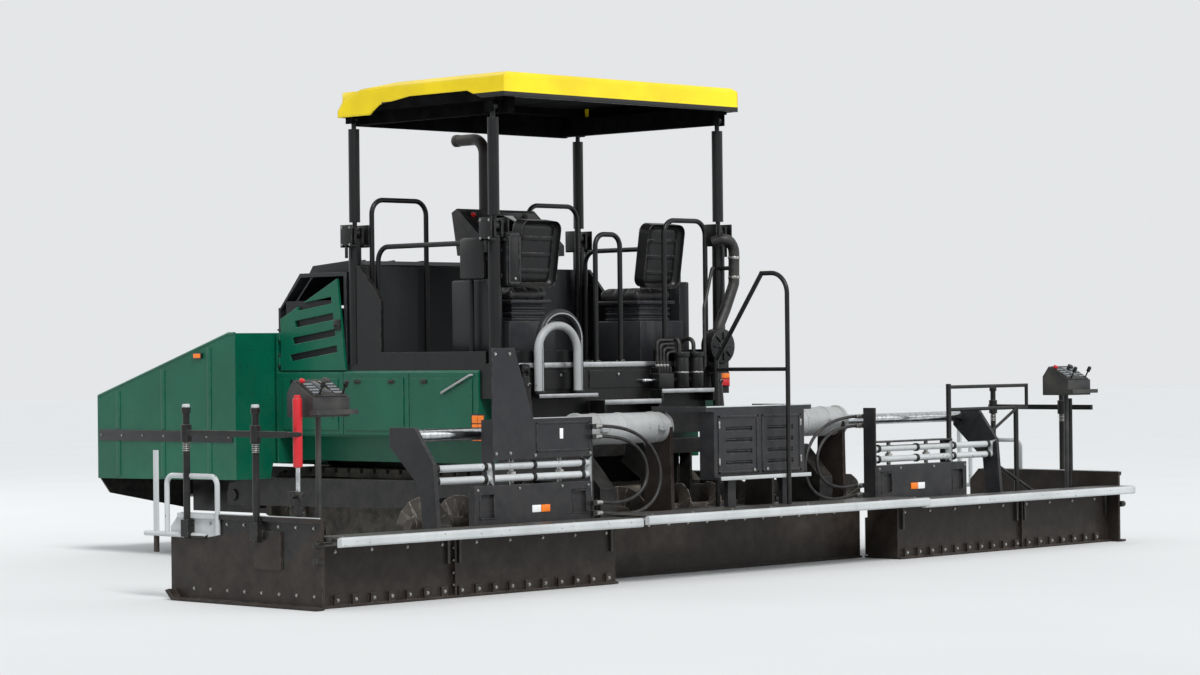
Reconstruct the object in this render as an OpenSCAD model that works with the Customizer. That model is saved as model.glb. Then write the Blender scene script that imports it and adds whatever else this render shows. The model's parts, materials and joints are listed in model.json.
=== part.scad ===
// Tracked asphalt paver with a wide extending screed, in millimetres.
// +X is the way the machine travels, +Y is its left side and +Z is up.
// Inside each module x is a station: the distance ahead of the rear edge of the walkway.

/* [Screed] */
// Width of the fixed middle screed
base_w = 3000; // [2900:10:3100]
// Length of each hydraulic extension unit across the road
ext_w = 1495; // [1440:5:1500]
// Width of each section bolted to an extension unit
bolt_on_w = 1170; // [800:5:1400]
// How far each extension slides in
ext_travel = 1490; // [1200:10:1490]
// Depth of the walkway behind the screed
walk_depth = 290; // [260:10:320]
// Depth of an extension unit's body
ext_depth = 350; // [330:10:380]
// Depth of the middle screed's body
base_depth = 420; // [400:10:460]
// Height of the screed bodies
screed_h = 380; // [340:10:390]
// Height of the middle walkway's tread
walk_h = 465; // [455:5:480]
// Thickness of the sole plates
sole_t = 14; // [10:1:20]

/* [Telescopes] */
// Radius of a telescope tube
tele_r = 42; // [36:1:44]
// Height of the telescope tubes
tele_z = 1030; // [1010:5:1040]
// Outer radius of the telescope housings
housing_r = 108; // [104:1:112]
// Width of a guard over an extension unit
guard_w = 930; // [860:10:960]
// Height of the left guard's tall outer end
guard_top = 1600; // [1400:10:1650]

/* [End gates] */
// Length of an end gate along the road
gate_len = 1500; // [1400:10:1520]
// Height of an end gate's plate
gate_h = 560; // [500:10:600]
// Thickness of an end gate's plate
gate_t = 20; // [12:1:25]

/* [Augers] */
// Radius of the auger flights
auger_r = 190; // [160:5:200]
// Distance from the middle to the outer end of an auger
auger_reach = 2400; // [1800:10:2500]
// Height of the auger's axis
auger_z = 400; // [380:5:420]
// Length of one turn of the flights
auger_pitch = 330; // [300:10:360]

/* [Tracks] */
// Width of a track shoe
track_w = 305; // [280:5:310]
// Distance between the sprocket's and the idler's axles
track_base = 2130; // [2000:10:2160]
// Outer radius of a track where it wraps its wheels
track_r = 350; // [340:5:360]
// Distance of each track's centre line from the middle
track_y = 872; // [865:1:880]
// Number of shoes on a track
shoe_n = 42; // [38:1:44]

/* [Tractor] */
// Length of the operator's platform
platform_len = 1550; // [1500:10:1650]
// Height of the platform's deck
deck_z = 1490; // [1480:5:1530]
// Width over the body panels
body_w = 2500; // [2480:10:2520]
// Length of the engine housing
hood_len = 900; // [880:10:980]
// Height of the engine housing
hood_z = 2230; // [2200:10:2280]
// Height of the conveyors' slats
feed_z = 590; // [580:5:600]
// Thickness of the frame's side plates
frame_t = 20; // [15:1:25]

/* [Hopper] */
// Length of the hopper wings
wing_len = 1753; // [1700:5:1850]
// Width over the open wings
wing_w = 3260; // [3200:10:3300]
// Height of a wing at the front
wing_front_z = 1256; // [1200:4:1300]
// Height of a wing at the back
wing_back_z = 1740; // [1700:5:1780]
// Thickness of the wing plates
wing_t = 12; // [8:1:16]
// Radius of the push rollers
roller_r = 90; // [80:5:95]

/* [Canopy] */
// Width of the roof
roof_w = 2490; // [2440:10:2560]
// Length of the roof
roof_len = 1810; // [1750:10:1900]
// Height of the roof's top
roof_z = 3590; // [3500:10:3650]
// Wall of the roof moulding
roof_t = 14; // [8:1:20]
// Radius of the canopy posts
post_r = 42; // [36:1:44]
// Height of the knuckles where the posts fold
knuckle_z = 2480; // [2440:10:2520]

/* [Hidden] */
$fn = 48;
// Running gaps between pieces that move past each other, and round pins
gap = 20;
pin_gap = 0.05;
seat_gap = 0.3;
ext_back = walk_depth;
ext_front = ext_back + ext_depth;
base_back = ext_front + gap;
base_front = base_back + base_depth;
auger_x = base_front + 150 + auger_r;
tractor_back = auger_x + auger_r + 140;
sprocket_x = tractor_back + 35 + track_r;
idler_x = sprocket_x + track_base;
hood_back = tractor_back + platform_len;
hopper_back = hood_back + hood_len;
wing_back = hopper_back + 27;
wing_front = wing_back + wing_len;
push_pin_x = wing_front + 50;
push_x = wing_front + 135 + roller_r;
total_len = push_x + roller_r;
body_y = body_w / 2;
frame_y = 660;
ext_in = base_w / 2 + 5;
ext_out = ext_in + ext_w;
side_y = ext_out + bolt_on_w;
gate_out = side_y + gate_t;
tow_x = idler_x + track_r + 135;
tow_z = 480;
arm_in = 1090;
arm_out = 1235;

// Helpers for boxes, plates and tubes
module box(x0, x1, y0, y1, z0, z1) {
    translate([x0, y0, z0]) cube([x1 - x0, y1 - y0, z1 - z0]);
}
module side_plate(points, y0, y1) {
    translate([0, y1, 0]) rotate([90, 0, 0]) linear_extrude(y1 - y0) polygon(points);
}
module cross_plate(points, x0, x1) {
    translate([x0, 0, 0]) rotate([90, 0, 90]) linear_extrude(x1 - x0) polygon(points);
}
module bar_x(y, z, r, x0, x1) {
    translate([x0, y, z]) rotate([0, 90, 0]) cylinder(h = x1 - x0, r = r);
}
module bar_y(x, z, r, y0, y1) {
    translate([x, y0, z]) rotate([-90, 0, 0]) cylinder(h = y1 - y0, r = r);
}
module bar_z(x, y, r, z0, z1) {
    translate([x, y, z0]) cylinder(h = z1 - z0, r = r);
}
module mirrored(s) {
    if (s > 0) children();
    else mirror([0, 1, 0]) children();
}
module both_sides() {
    for (s = [1, -1]) mirrored(s) children();
}
function unit(v) = v / norm(v);
module frame_at(p, x, y) {
    z = cross(x, y);
    multmatrix([[x[0], y[0], z[0], p[0]], [x[1], y[1], z[1], p[1]], [x[2], y[2], z[2], p[2]],
        [0, 0, 0, 1]]) children();
}
module rod_between(a, b, r) {
    n = unit(b - a);
    side = abs(n[2]) > 0.9 ? unit(cross([0, 1, 0], n)) : unit(cross([0, 0, 1], n));
    frame_at(a, side, cross(n, side)) cylinder(h = norm(b - a), r = r);
}
// A tube through points, with its corners bent to one radius
module bent_tube(p, r, bend) {
    last = len(p) - 1;
    trim = [for (i = [0:last]) (i == 0 || i == last) ? 0 :
        bend * tan(acos(unit(p[i] - p[i - 1]) * unit(p[i + 1] - p[i])) / 2)];
    for (i = [0:last - 1]) {
        d = unit(p[i + 1] - p[i]);
        rod_between(p[i] + trim[i] * d, p[i + 1] - trim[i + 1] * d, r);
    }
    for (i = [1:last - 1]) {
        a = unit(p[i] - p[i - 1]);
        b = unit(p[i + 1] - p[i]);
        inward = unit(b - a * (a * b));
        frame_at(p[i] - trim[i] * a + bend * inward, -inward, a)
            rotate_extrude(angle = acos(a * b)) translate([bend, 0]) circle(r = r);
    }
}

// Main frame: conveyor tunnel, track outriggers, tow brackets, wing pins and push-bar bracket
tunnel_top = 912;
conveyor_t = 30;
slat_h = 26;
drum_r = 75;
drum_z = feed_z - slat_h - drum_r;
conveyor_back = tractor_back - 20;
conveyor_front = wing_front - 150;
wing_pin_y = 700;
wing_pin_z = 740;
wing_pin_r = 20;
tow_pin_r = 45;
push_pin_r = 25;
push_z = 490;
lug_r = 26;
module chassis() {
    color("#2b2d2f") {
        both_sides() {
            side_plate([[tractor_back, 300], [wing_front + 20, 300], [wing_front + 20, feed_z + 90],
                [hopper_back, feed_z + 90], [hopper_back, tunnel_top], [tractor_back, tunnel_top]],
                frame_y - frame_t, frame_y);
            for (x = [sprocket_x + 400, (sprocket_x + idler_x) / 2 - 80, idler_x - 560])
                box(x, x + 160, frame_y, track_y - 95, 300, 410);
            side_plate([[tow_x - 100, tow_z - 110], [tow_x + 90, tow_z - 110], [tow_x + 90, tow_z + 80],
                [tow_x - 70, tow_z + 80]], frame_y, arm_in - 10);
            bar_y(tow_x, tow_z, tow_pin_r, arm_in - 10, arm_out + 15);
            bar_x(wing_pin_y, wing_pin_z, wing_pin_r, wing_back - 20, wing_front + 20);
            for (x = [wing_back - 20, wing_front + 5])
                cross_plate([[frame_y - frame_t, feed_z + 20], [wing_pin_y + 5, feed_z + 20],
                    [wing_pin_y + 5, wing_pin_z - 34], [wing_pin_y + 30, wing_pin_z - 24],
                    [wing_pin_y + 30, wing_pin_z + 24], [frame_y - frame_t, wing_pin_z + 24]], x, x + 15);
            for (x = [conveyor_back + drum_r, conveyor_front - drum_r])
                bar_y(x, drum_z, drum_r - conveyor_t - seat_gap, 12, frame_y - frame_t);
        }
        box(tractor_back, wing_front, -frame_y + frame_t, frame_y - frame_t, 300, 312);
        box(tractor_back, hopper_back, -frame_y + frame_t, frame_y - frame_t, tunnel_top - 12, tunnel_top);
        box(tractor_back + 20, wing_front - 60, -12, 12, 312, 560);
        box(wing_front - 60, wing_front - 20, -frame_y + frame_t, frame_y - frame_t, 312, feed_z - 15);
        difference() {
            box(wing_front - 20, push_pin_x + 35, -130, 130, push_z - 110, push_z + 110);
            box(wing_front + 5, push_pin_x + 36, -131, 131, push_z - 50, push_z + 50);
            bar_z(push_pin_x, 0, push_pin_r + pin_gap, push_z - 111, push_z + 111);
        }
        both_sides() difference() {
            box(wing_front - 20, wing_front + 95, 380, 400, 312, 415);
            bar_y(wing_front + 60, 364, lug_r, 379, 401);
        }
    }
}

// Running gear inside each track: beam, fork plates, sprocket, idler and rollers
track_band = 34;
shoe_t = 34;
band_in = track_r - shoe_t - track_band;
module running_gear(s) {
    low = shoe_t + track_band;
    high = 2 * track_r - low;
    mirrored(s) color("#3a3a3a") {
        box(sprocket_x + 290, idler_x - 290, track_y - 95, track_y + 95, 250, 430);
        for (y = [track_y - 95, track_y + 75]) {
            box(sprocket_x - 60, idler_x + 60, y, y + 20, track_r - 60, track_r + 60);
            box(sprocket_x + 300, idler_x - 300, y, y + 20, low + 62, 250);
        }
        for (x = [sprocket_x, idler_x]) {
            bar_y(x, track_r, 60, track_y - 140, track_y + 140);
            difference() {
                bar_y(x, track_r, band_in - seat_gap, track_y - 60, track_y + 60);
                for (a = [0:60:300])
                    bar_y(x + 165 * cos(a), track_r + 165 * sin(a), 40, track_y - 61, track_y + 61);
            }
        }
        for (i = [0:6]) {
            x = sprocket_x + 360 + i * (track_base - 720) / 6;
            bar_y(x, low + 70 + seat_gap, 70, track_y - 70, track_y + 70);
            bar_y(x, low + 90, 16, track_y - 95, track_y + 95);
        }
        for (x = [sprocket_x + 700, idler_x - 700]) {
            bar_y(x, high - 57 - seat_gap, 57, track_y - 80, track_y + 80);
            box(x - 30, x + 30, track_y - 40, track_y + 40, 430, high - 57);
        }
    }
}

// Track: one closed band with a pad on every shoe
shoe_r = track_r - shoe_t;
track_run = 2 * track_base + 2 * PI * shoe_r;
function on_track(d) = d < track_base ? [sprocket_x + d, track_r + shoe_r, 0]
    : d < track_base + PI * shoe_r ? wrapped(idler_x, 90 - (d - track_base) / shoe_r * 180 / PI)
    : d < 2 * track_base + PI * shoe_r ? [idler_x - (d - track_base - PI * shoe_r), shoe_t, 180]
    : wrapped(sprocket_x, -90 - (d - 2 * track_base - PI * shoe_r) / shoe_r * 180 / PI);
function wrapped(x, a) = [x + shoe_r * cos(a), track_r + shoe_r * sin(a), a - 90];
module loop_outline(x0, x1, z, r) {
    for (x = [x0, x1]) translate([x, z]) circle(r = r, $fn = 64);
    translate([x0, z - r]) square([x1 - x0, 2 * r]);
}
module track(s) {
    pitch = track_run / shoe_n;
    mirrored(s) color("#202020")
        translate([0, track_y + track_w / 2, 0]) rotate([90, 0, 0]) linear_extrude(track_w) {
            difference() {
                loop_outline(sprocket_x, idler_x, track_r, shoe_r);
                loop_outline(sprocket_x, idler_x, track_r, band_in);
            }
            intersection() {
                loop_outline(sprocket_x, idler_x, track_r, track_r);
                for (i = [0:shoe_n - 1]) {
                    p = on_track((i + 0.5) * pitch);
                    translate([p[0], p[1]]) rotate(p[2]) polygon([[-0.42 * pitch, -12],
                        [0.42 * pitch, -12], [0.36 * pitch, shoe_t + 4], [-0.36 * pitch, shoe_t + 4]]);
                }
            }
        }
}

// Conveyors: two slatted loops that carry the mix back through the tunnel
module conveyors() {
    color("#55524e") both_sides()
        translate([0, frame_y - frame_t - 4, 0]) rotate([90, 0, 0]) linear_extrude(frame_y - frame_t - 24) {
            difference() {
                loop_outline(conveyor_back + drum_r, conveyor_front - drum_r, drum_z, drum_r);
                loop_outline(conveyor_back + drum_r, conveyor_front - drum_r, drum_z, drum_r - conveyor_t);
            }
            for (x = [conveyor_back + 200:300:conveyor_front - 150])
                translate([x, drum_z + drum_r - 6]) square([45, slat_h + 6]);
        }
}

// Side tanks: the boxes over the tracks and under the deck
tank_z = 950;
panel_seam = 8;
module side_tank(s) {
    back = tractor_back + 180;
    mirrored(s) color("#0f6b4e") difference() {
        cross_plate([[frame_y, 760], [arm_in - 20, 760], [arm_in - 20, tank_z], [body_y - 20, tank_z],
            [body_y, tank_z + 20], [body_y, deck_z - 60], [body_y - 15, deck_z - 45],
            [frame_y, deck_z - 45]], back, hopper_back - 20);
        for (x = [back + 740, back + 1480])
            box(x, x + panel_seam, body_y - panel_seam, body_y + 1, tank_z - 1, deck_z);
    }
}

// Bulkhead: engine bay floor, end plates, top rails and the hood's hinge lugs
hood_fix = 180;
hood_hinge_x = hopper_back - 45;
hood_hinge_z = hood_z - 268;
module bulkhead() {
    hole = frame_y - frame_t;
    color("#0f6b4e") {
        difference() {
            box(hopper_back - 20, hopper_back, -body_y, body_y, 740, wing_back_z);
            box(hopper_back - 21, hopper_back + 1, -hole - frame_t, hole + frame_t, 739, tunnel_top);
        }
        box(hood_back, hopper_back - 20, -frame_y, frame_y, tunnel_top, deck_z - 45);
        box(hood_back, hopper_back - 20, -body_y + 30, body_y - 30, deck_z - 45, deck_z);
    }
    color("#333639") {
        box(hood_back, hood_back + 20, -post_y + 65, post_y - 65, deck_z, hood_z);
        box(hopper_back - 20, hopper_back, -body_y + 30, body_y - 30, wing_back_z, hood_hinge_z - 30);
        difference() {
            box(hood_back, hood_back + hood_fix - 8, -post_y + 65, post_y - 65, hood_z - 20, hood_z);
            bar_z(exhaust_x, exhaust_y, exhaust_r + 6, hood_z - 21, hood_z + 1);
        }
        both_sides() {
            side_plate([[hood_back + 100, hood_z - 70], [hopper_back - 270, hood_z - 70],
                [hopper_back - 20, hood_hinge_z - 50], [hopper_back - 20, hood_hinge_z - 30],
                [hopper_back - 260, hood_z - 40], [hood_back + 100, hood_z - 40]],
                body_y - 130, body_y - 30);
            box(hood_back + 100, hood_back + 130, body_y - 130, body_y - 30, deck_z, hood_z - 70);
            box(hood_back + 20, hood_back + 100, post_y - 95, post_y - 65, deck_z, hood_z - 20);
            box(hood_back + 100, hood_back + 130, post_y - 95, body_y - 130, deck_z, hood_z - 20);
            difference() {
                side_plate([[hood_hinge_x - 20, hood_hinge_z - 60], [hopper_back, hood_hinge_z - 60],
                    [hopper_back, hood_hinge_z - 10], [hood_hinge_x + 15, hood_hinge_z + 18],
                    [hood_hinge_x - 20, hood_hinge_z + 18]], body_y - 155, body_y - 130);
                bar_y(hood_hinge_x, hood_hinge_z, 8 + pin_gap, body_y - 156, body_y - 129);
            }
            bar_z(grille_hinge_x, grille_hinge_y, 8, deck_z, deck_z + 90);
            bar_z(grille_hinge_x, grille_hinge_y, 8, deck_z + 180, deck_z + 280);
            for (z = [deck_z, deck_z + 280])
                box(grille_hinge_x - 10, hopper_back - 20, body_y - 40, grille_hinge_y + 10, z - 15, z);
        }
    }
}
module engine() {
    color("#8a8d90") box(hood_back + 230, hopper_back - 130, -420, 520, deck_z, hood_z - 260);
}

// Hood: the thin lid over the engine, hinged along its front edge
hood_t = 12;
module hood() {
    y = body_y - 160;
    rear = hood_back + hood_fix;
    color("#333639") {
        difference() {
            side_plate([[rear, hood_z - 36], [rear, hood_z + 20], [rear + 40, hood_z + 50],
                [hopper_back - 260, hood_z + 20], [hood_hinge_x, hood_hinge_z + 14],
                [hood_hinge_x, hood_hinge_z - 10], [hopper_back - 290, hood_z - 36]], -y, y);
            side_plate([[rear + hood_t, hood_z - 37], [rear + hood_t, hood_z + 14],
                [rear + 44, hood_z + 50 - hood_t], [hopper_back - 266, hood_z + 20 - hood_t],
                [hood_hinge_x - 20, hood_hinge_z + 14], [hood_hinge_x - 30, hood_hinge_z - 6],
                [hopper_back - 295, hood_z - 37]], -y + hood_t, y - hood_t);
        }
        both_sides() {
            bar_y(hood_hinge_x, hood_hinge_z, 14, y - 60, y);
            bar_y(hood_hinge_x, hood_hinge_z, 8, y - 1, y + 29);
        }
    }
}

// Grille doors: side doors with rising louvres, hinged at their front edge
grille_t = 22;
grille_hinge_x = hopper_back - 36;
grille_hinge_y = body_y - 11;
module grille(s) {
    x0 = hood_back + 125;
    x1 = grille_hinge_x - 22;
    mirrored(s) color("#0f6b4e") {
        difference() {
            side_plate([[x0 - 40, deck_z - 40], [x1, deck_z - 40], [x1, hood_z - 385],
                [x0 + 50, hood_z - 90]], body_y - grille_t, body_y);
            for (i = [0:3]) translate([x0 + 270, 0, deck_z + 70 + i * 125]) rotate([0, 7, 0])
                box(-220 + i * 20, 330 - i * 30, body_y - grille_t - 1, body_y + 1, 0, 52);
        }
        for (z = [deck_z + 5, deck_z + 195]) difference() {
            union() {
                bar_z(grille_hinge_x, grille_hinge_y, 14, z, z + 55);
                box(x1 - 20, grille_hinge_x, grille_hinge_y - 11, grille_hinge_y + 11, z, z + 55);
            }
            bar_z(grille_hinge_x, grille_hinge_y, 8 + pin_gap, z - 1, z + 56);
        }
    }
}

// Platform: deck, kick plates, rear compartment and the brackets of the lift cylinders
lift_y = 1020;
lift_x = tractor_back - 50;
lift_z = deck_z - 40;
lift_pin_r = 18;
module platform() {
    color("#2f3133") {
        box(tractor_back, hood_back, -body_y + 20, body_y - 20, deck_z - 45, deck_z);
        box(tractor_back + 180, hood_back, -frame_y, frame_y, tunnel_top, deck_z - 45);
        box(tractor_back, tractor_back + 180, -lift_y + 60, lift_y - 60, tank_z, deck_z - 45);
        box(tractor_back, tractor_back + 180, -body_y + 20, body_y - 20, deck_z - 250, deck_z - 45);
        both_sides() {
            box(post_back_x + 60, post_front_x - 60, body_y - 50, body_y - 20, deck_z, deck_z + 90);
            box(tractor_back, tractor_back + 30, 420, post_y - 60, deck_z, deck_z + 90);
            side_plate([[hood_back - 300, deck_z + 90], [hood_back - 30, deck_z + 90],
                [hood_back - 30, hood_z], [hood_back - 60, hood_z], [hood_back - 300, hood_z - 260]],
                body_y - 50, body_y - 20);
            for (y = [lift_y - 36, lift_y + 20])
                side_plate([[lift_x - 30, lift_z - 26], [lift_x, lift_z - 32], [tractor_back, lift_z - 40],
                    [tractor_back, lift_z + 30], [lift_x - 30, lift_z + 30]], y, y + 16);
            bar_y(lift_x, lift_z, lift_pin_r, lift_y - 36, lift_y + 36);
        }
        box(tractor_back - 160, tractor_back, -300, 300, 1180, 1210);
        for (y = [-300, 280]) box(tractor_back - 160, tractor_back, y, y + 20, 1100, 1180);
        box(tractor_back - 130, tractor_back, -930, -340, 1255, 1280);
        for (y = [-930, -360]) box(tractor_back - 130, tractor_back, y, y + 20, 1190, 1255);
        box(tractor_back - 130, tractor_back, 340, 940, 1240, 1262);
    }
}

// Conduits arched over the tail's shelf
conduit_r = 30;
module conduits() {
    color("#a7a9a9") for (k = [0, 1]) {
        x = tractor_back - 42 - 50 * k;
        y = 440 + 70 * k;
        bent_tube([[x, y, 1262], [x, y, 1850 - 90 * k], [x, y + 400, 1850 - 90 * k], [x, y + 400, 1262]],
            conduit_r, 190);
    }
}

// Rails: tube hoops round the platform
rail_r = 19;
rail_z = 2370;
module rails() {
    y = body_y - 150;
    front = hood_back - 50;
    color("#1d1e1f") {
        both_sides() {
            bent_tube([[front, y - 10, deck_z], [front, y - 10, rail_z + 360], [front, y - 560, rail_z + 360],
                [front, y - 560, deck_z]], rail_r, 110);
            bent_tube([[front - 80, y, deck_z], [front - 80, y, rail_z], [tractor_back + 400, y, rail_z],
                [tractor_back + 400, y, deck_z]], rail_r, 110);
        }
        bent_tube([[tractor_back + 60, -y + 60, deck_z], [tractor_back + 60, -y + 60, 2560],
            [tractor_back + 60, -y + 520, 2560], [tractor_back + 60, -y + 520, deck_z]], rail_r, 110);
        bent_tube([[tractor_back + 60, -100, deck_z], [tractor_back + 60, -100, 2440],
            [tractor_back + 60, 160, 2440], [tractor_back + 60, 160, deck_z]], rail_r, 90);
    }
}

// Seats on their side consoles
module seat(s) {
    x = tractor_back + 420;
    mirrored(s) color("#1b1c1e") {
        box(x - 240, x + 240, 440, 930, deck_z, deck_z + 420);
        box(x - 210, x + 270, 450, 880, deck_z + 420, deck_z + 540);
        side_plate([[x - 210, deck_z + 540], [x - 90, deck_z + 540], [x - 162, deck_z + 970],
            [x - 250, deck_z + 960]], 460, 870);
        box(x - 180, x + 260, 930, 1060, deck_z, deck_z + 640);
    }
}
module console() {
    x = tractor_back + 1130;
    color("#232527") {
        box(x - 60, x + 60, -120, 260, deck_z, deck_z + 820);
        side_plate([[x - 200, deck_z + 820], [x + 130, deck_z + 820], [x + 190, deck_z + 1150],
            [x + 130, deck_z + 1180], [x - 200, deck_z + 900]], -380, 440);
    }
}

// Canopy: fixed lower posts, folding upper posts and the moulded roof
post_back_x = tractor_back + 60;
post_front_x = hood_back + 30;
post_y = body_y - 60;
post_len = roof_z - 250 - knuckle_z;
knuckle_pin_r = 18;
module lower_posts() {
    color("#26282a") both_sides() for (x = [post_back_x, post_front_x]) {
        bar_z(x, post_y, post_r + 6, deck_z, knuckle_z - 70);
        for (y = [post_y - 46, post_y + 26]) difference() {
            box(x - 50, x + 50, y, y + 20, knuckle_z - 80, knuckle_z + 40);
            bar_y(x, knuckle_z, knuckle_pin_r + pin_gap, y - 1, y + 21);
        }
    }
}
module upper_posts(x) {
    top = knuckle_z + post_len;
    color("#26282a") both_sides() {
        difference() {
            union() {
                bar_y(x, knuckle_z, 40, post_y - 20, post_y + 20);
                bar_z(x, post_y, 18, knuckle_z + 30, knuckle_z + 90);
                bar_z(x, post_y, post_r, knuckle_z + 80, top - 80);
                bar_z(x, post_y, 18, top - 90, top - 28);
                bar_y(x, top, 34, post_y - 20, post_y + 20);
            }
            bar_y(x, top, 16 + pin_gap, post_y - 21, post_y + 21);
        }
        bar_y(x, knuckle_z, knuckle_pin_r, post_y - 48, post_y + 48);
    }
}
module roof() {
    x0 = post_back_x - 170;
    x1 = x0 + roof_len;
    low = roof_z - 190;
    top = knuckle_z + post_len;
    w = roof_w / 2;
    outline = [[x1, low - 50], [x1, roof_z - 190], [x1 - 60, roof_z - 120], [x1 - 260, roof_z - 45],
        [x1 - 650, roof_z - 5], [x0 + 500, roof_z], [x0 + 20, roof_z - 10], [x0, roof_z - 30],
        [x0, low], [x0 + 230, low], [x0 + 380, low + 62], [x0 + 1000, low + 62],
        [x1 - 480, low + 20], [x1 - 360, low - 50]];
    color("#f5d400") difference() {
        intersection() {
            side_plate(outline, -w, w);
            cross_plate([[-w, 0], [w, 0], [w, roof_z - 40], [w - 60, roof_z - 8], [w - 300, roof_z + 1],
                [-w + 300, roof_z + 1], [-w + 60, roof_z - 8], [-w, roof_z - 40]], x0 - 1, x1 + 1);
        }
        difference() {
            box(x0 + roof_t, x1 - roof_t, -w + roof_t, w - roof_t, low - 60, roof_z - 60);
            box(x1 - 260, x1, -w, w, roof_z - 140, roof_z);
        }
    }
    color("#1c1d1e") both_sides() {
        box(post_back_x - 60, post_front_x + 60, post_y - 50, post_y + 50, top + 45, roof_z - 60);
        for (x = [post_back_x, post_front_x]) {
            for (y = [post_y - 46, post_y + 26]) box(x - 40, x + 40, y, y + 20, top - 40, top + 45);
            bar_y(x, top, 16, post_y - 30, post_y + 30);
        }
    }
}
exhaust_x = hood_back + 100;
exhaust_y = -220;
exhaust_r = 45;
module exhaust() {
    color("#242526") {
        bent_tube([[exhaust_x, exhaust_y, hood_z - 220], [exhaust_x, exhaust_y, roof_z - 340],
            [exhaust_x + 330, exhaust_y, roof_z - 340]], exhaust_r, 120);
        bar_z(exhaust_x, exhaust_y, 75, deck_z, hood_z - 220);
    }
}

// Auger carrier: drive case, cross beam, channel plates and outer hangers
channel_y = 1950;
module auger_frame() {
    plate_x = auger_x + auger_r + 30;
    color("#3c3a37") {
        box(plate_x, tractor_back, -frame_y - 240, frame_y + 240, tunnel_top - 112, tunnel_top);
        side_plate([[auger_x - 60, 630], [auger_x + 60, 630], [tractor_back, tunnel_top - 112],
            [tractor_back, tunnel_top], [auger_x + 40, tunnel_top], [auger_x - 60, 760]], -45, 45);
        difference() {
            box(auger_x - 60, auger_x + 60, -45, 45, auger_z - 70, 640);
            bar_y(auger_x, auger_z, 40 + pin_gap, -46, 46);
        }
        both_sides() {
            box(plate_x, plate_x + 12, frame_y + 5, channel_y, 150, 560);
            box(plate_x, tractor_back, frame_y + 5, frame_y + 25, 300, tunnel_top - 100);
            difference() {
                side_plate([[auger_x - 60, auger_z - 60], [auger_x + 60, auger_z - 80],
                    [plate_x, 300], [plate_x, 560], [auger_x + 60, auger_z + 90],
                    [auger_x - 60, auger_z + 60]], 1295, 1325);
                bar_y(auger_x, auger_z, 40 + pin_gap, 1290, 1330);
            }
        }
    }
}
module flight(y0, turns) {
    translate([auger_x, y0, auger_z]) rotate([-90, 0, 0])
        linear_extrude(height = turns * auger_pitch, twist = -360 * turns, slices = round(turns * 14),
            segments = 4) translate([34, -8]) square([auger_r - 34, 16]);
}
module auger(s) {
    inner_turns = floor((1285 - 70) / auger_pitch * 4) / 4;
    outer_turns = floor((auger_reach - 1340) / auger_pitch * 4) / 4;
    mirrored(s) color("#6b625a") {
        bar_y(auger_x, auger_z, 40, 1, auger_reach);
        flight(60, inner_turns);
        flight(1340, outer_turns);
    }
}

// Push bar swings on a vertical pin and carries two free rollers
roller_pin_r = 20;
module push_bar() {
    beam = push_pin_x + 52;
    color("#222426") {
        box(push_pin_x - 30, beam + 2, -120, 120, push_z - 44, push_z + 44);
        bar_z(push_pin_x, 0, push_pin_r, push_z - 120, push_z + 120);
        box(beam, beam + 24, -1012, 1012, push_z - 60, push_z + 60);
        both_sides() for (y = [95, 985]) difference() {
            side_plate([[beam + 22, push_z - 60], [push_x + 30, push_z - 40], [push_x + 30, push_z + 40],
                [beam + 22, push_z + 60]], y, y + 25);
            bar_y(push_x, push_z, roller_pin_r + pin_gap, y - 1, y + 26);
        }
    }
}
module push_roller(s) {
    mirrored(s) color("#9a9a96") {
        bar_y(push_x, push_z, roller_r, 126, 979);
        bar_y(push_x, push_z, roller_pin_r, 96, 1009);
    }
}

// Hopper wing: hinge tube, sloping floor, outer wall, rear wall and the skirt in front
module wing(s) {
    wy = wing_w / 2;
    hinge_r = 34;
    mirrored(s) {
        color("#0f6b4e") {
            difference() {
                union() {
                    bar_x(wing_pin_y, wing_pin_z, hinge_r, wing_back, wing_front);
                    cross_plate([[wing_pin_y, wing_pin_z + 8], [wing_pin_y, wing_pin_z + 32],
                        [wy - wing_t, 1000], [wy - wing_t, 976]], wing_back, wing_front);
                }
                bar_x(wing_pin_y, wing_pin_z, wing_pin_r + pin_gap, wing_back - 1, wing_front + 1);
            }
            side_plate([[wing_back, 620], [wing_front, 600], [wing_front, wing_front_z],
                [wing_back + 70, wing_back_z], [wing_back, wing_back_z]], wy - wing_t, wy);
            cross_plate([[wing_pin_y + 40, wing_pin_z + 20], [1060, 740], [1265, 740], [1290, 620],
                [wy - wing_t, 620], [wy - wing_t, wing_back_z], [body_y - 200, wing_back_z],
                [wing_pin_y + 40, 1250]], wing_back, wing_back + wing_t);
        }
        color("#1a1a1a") cross_plate([[wing_pin_y + 60, 330], [wy - 110, 480], [wy - wing_t, 610],
            [wy - wing_t, 982], [wing_pin_y + 60, wing_pin_z + 30]], wing_front - 14, wing_front);
    }
}

// Tow arms reach from the tow pins back over the auger to the middle screed
eye_r = 34;
eye_x = tractor_back - 130;
eye_z = 750;
module screed_arms() {
    color("#2d2f31") both_sides() {
        difference() {
            side_plate([[tow_x + 70, 400], [tow_x + 85, 480], [tow_x + 60, 570], [tow_x - 200, 620],
                [tractor_back + 150, 640], [tractor_back - 60, 860], [base_front - 120, 860],
                [base_back + 60, 620], [base_back + 60, screed_h + 30], [base_front - 40, screed_h + 30],
                [auger_x - auger_r - 40, 660], [tractor_back - 130, 660], [tractor_back + 110, 440]],
                arm_in, arm_out);
            bar_y(tow_x, tow_z, tow_pin_r + pin_gap, arm_in - 1, arm_out + 1);
        }
        bar_y(eye_x, eye_z, lift_pin_r, lift_y - 20, arm_in);
    }
}

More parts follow.
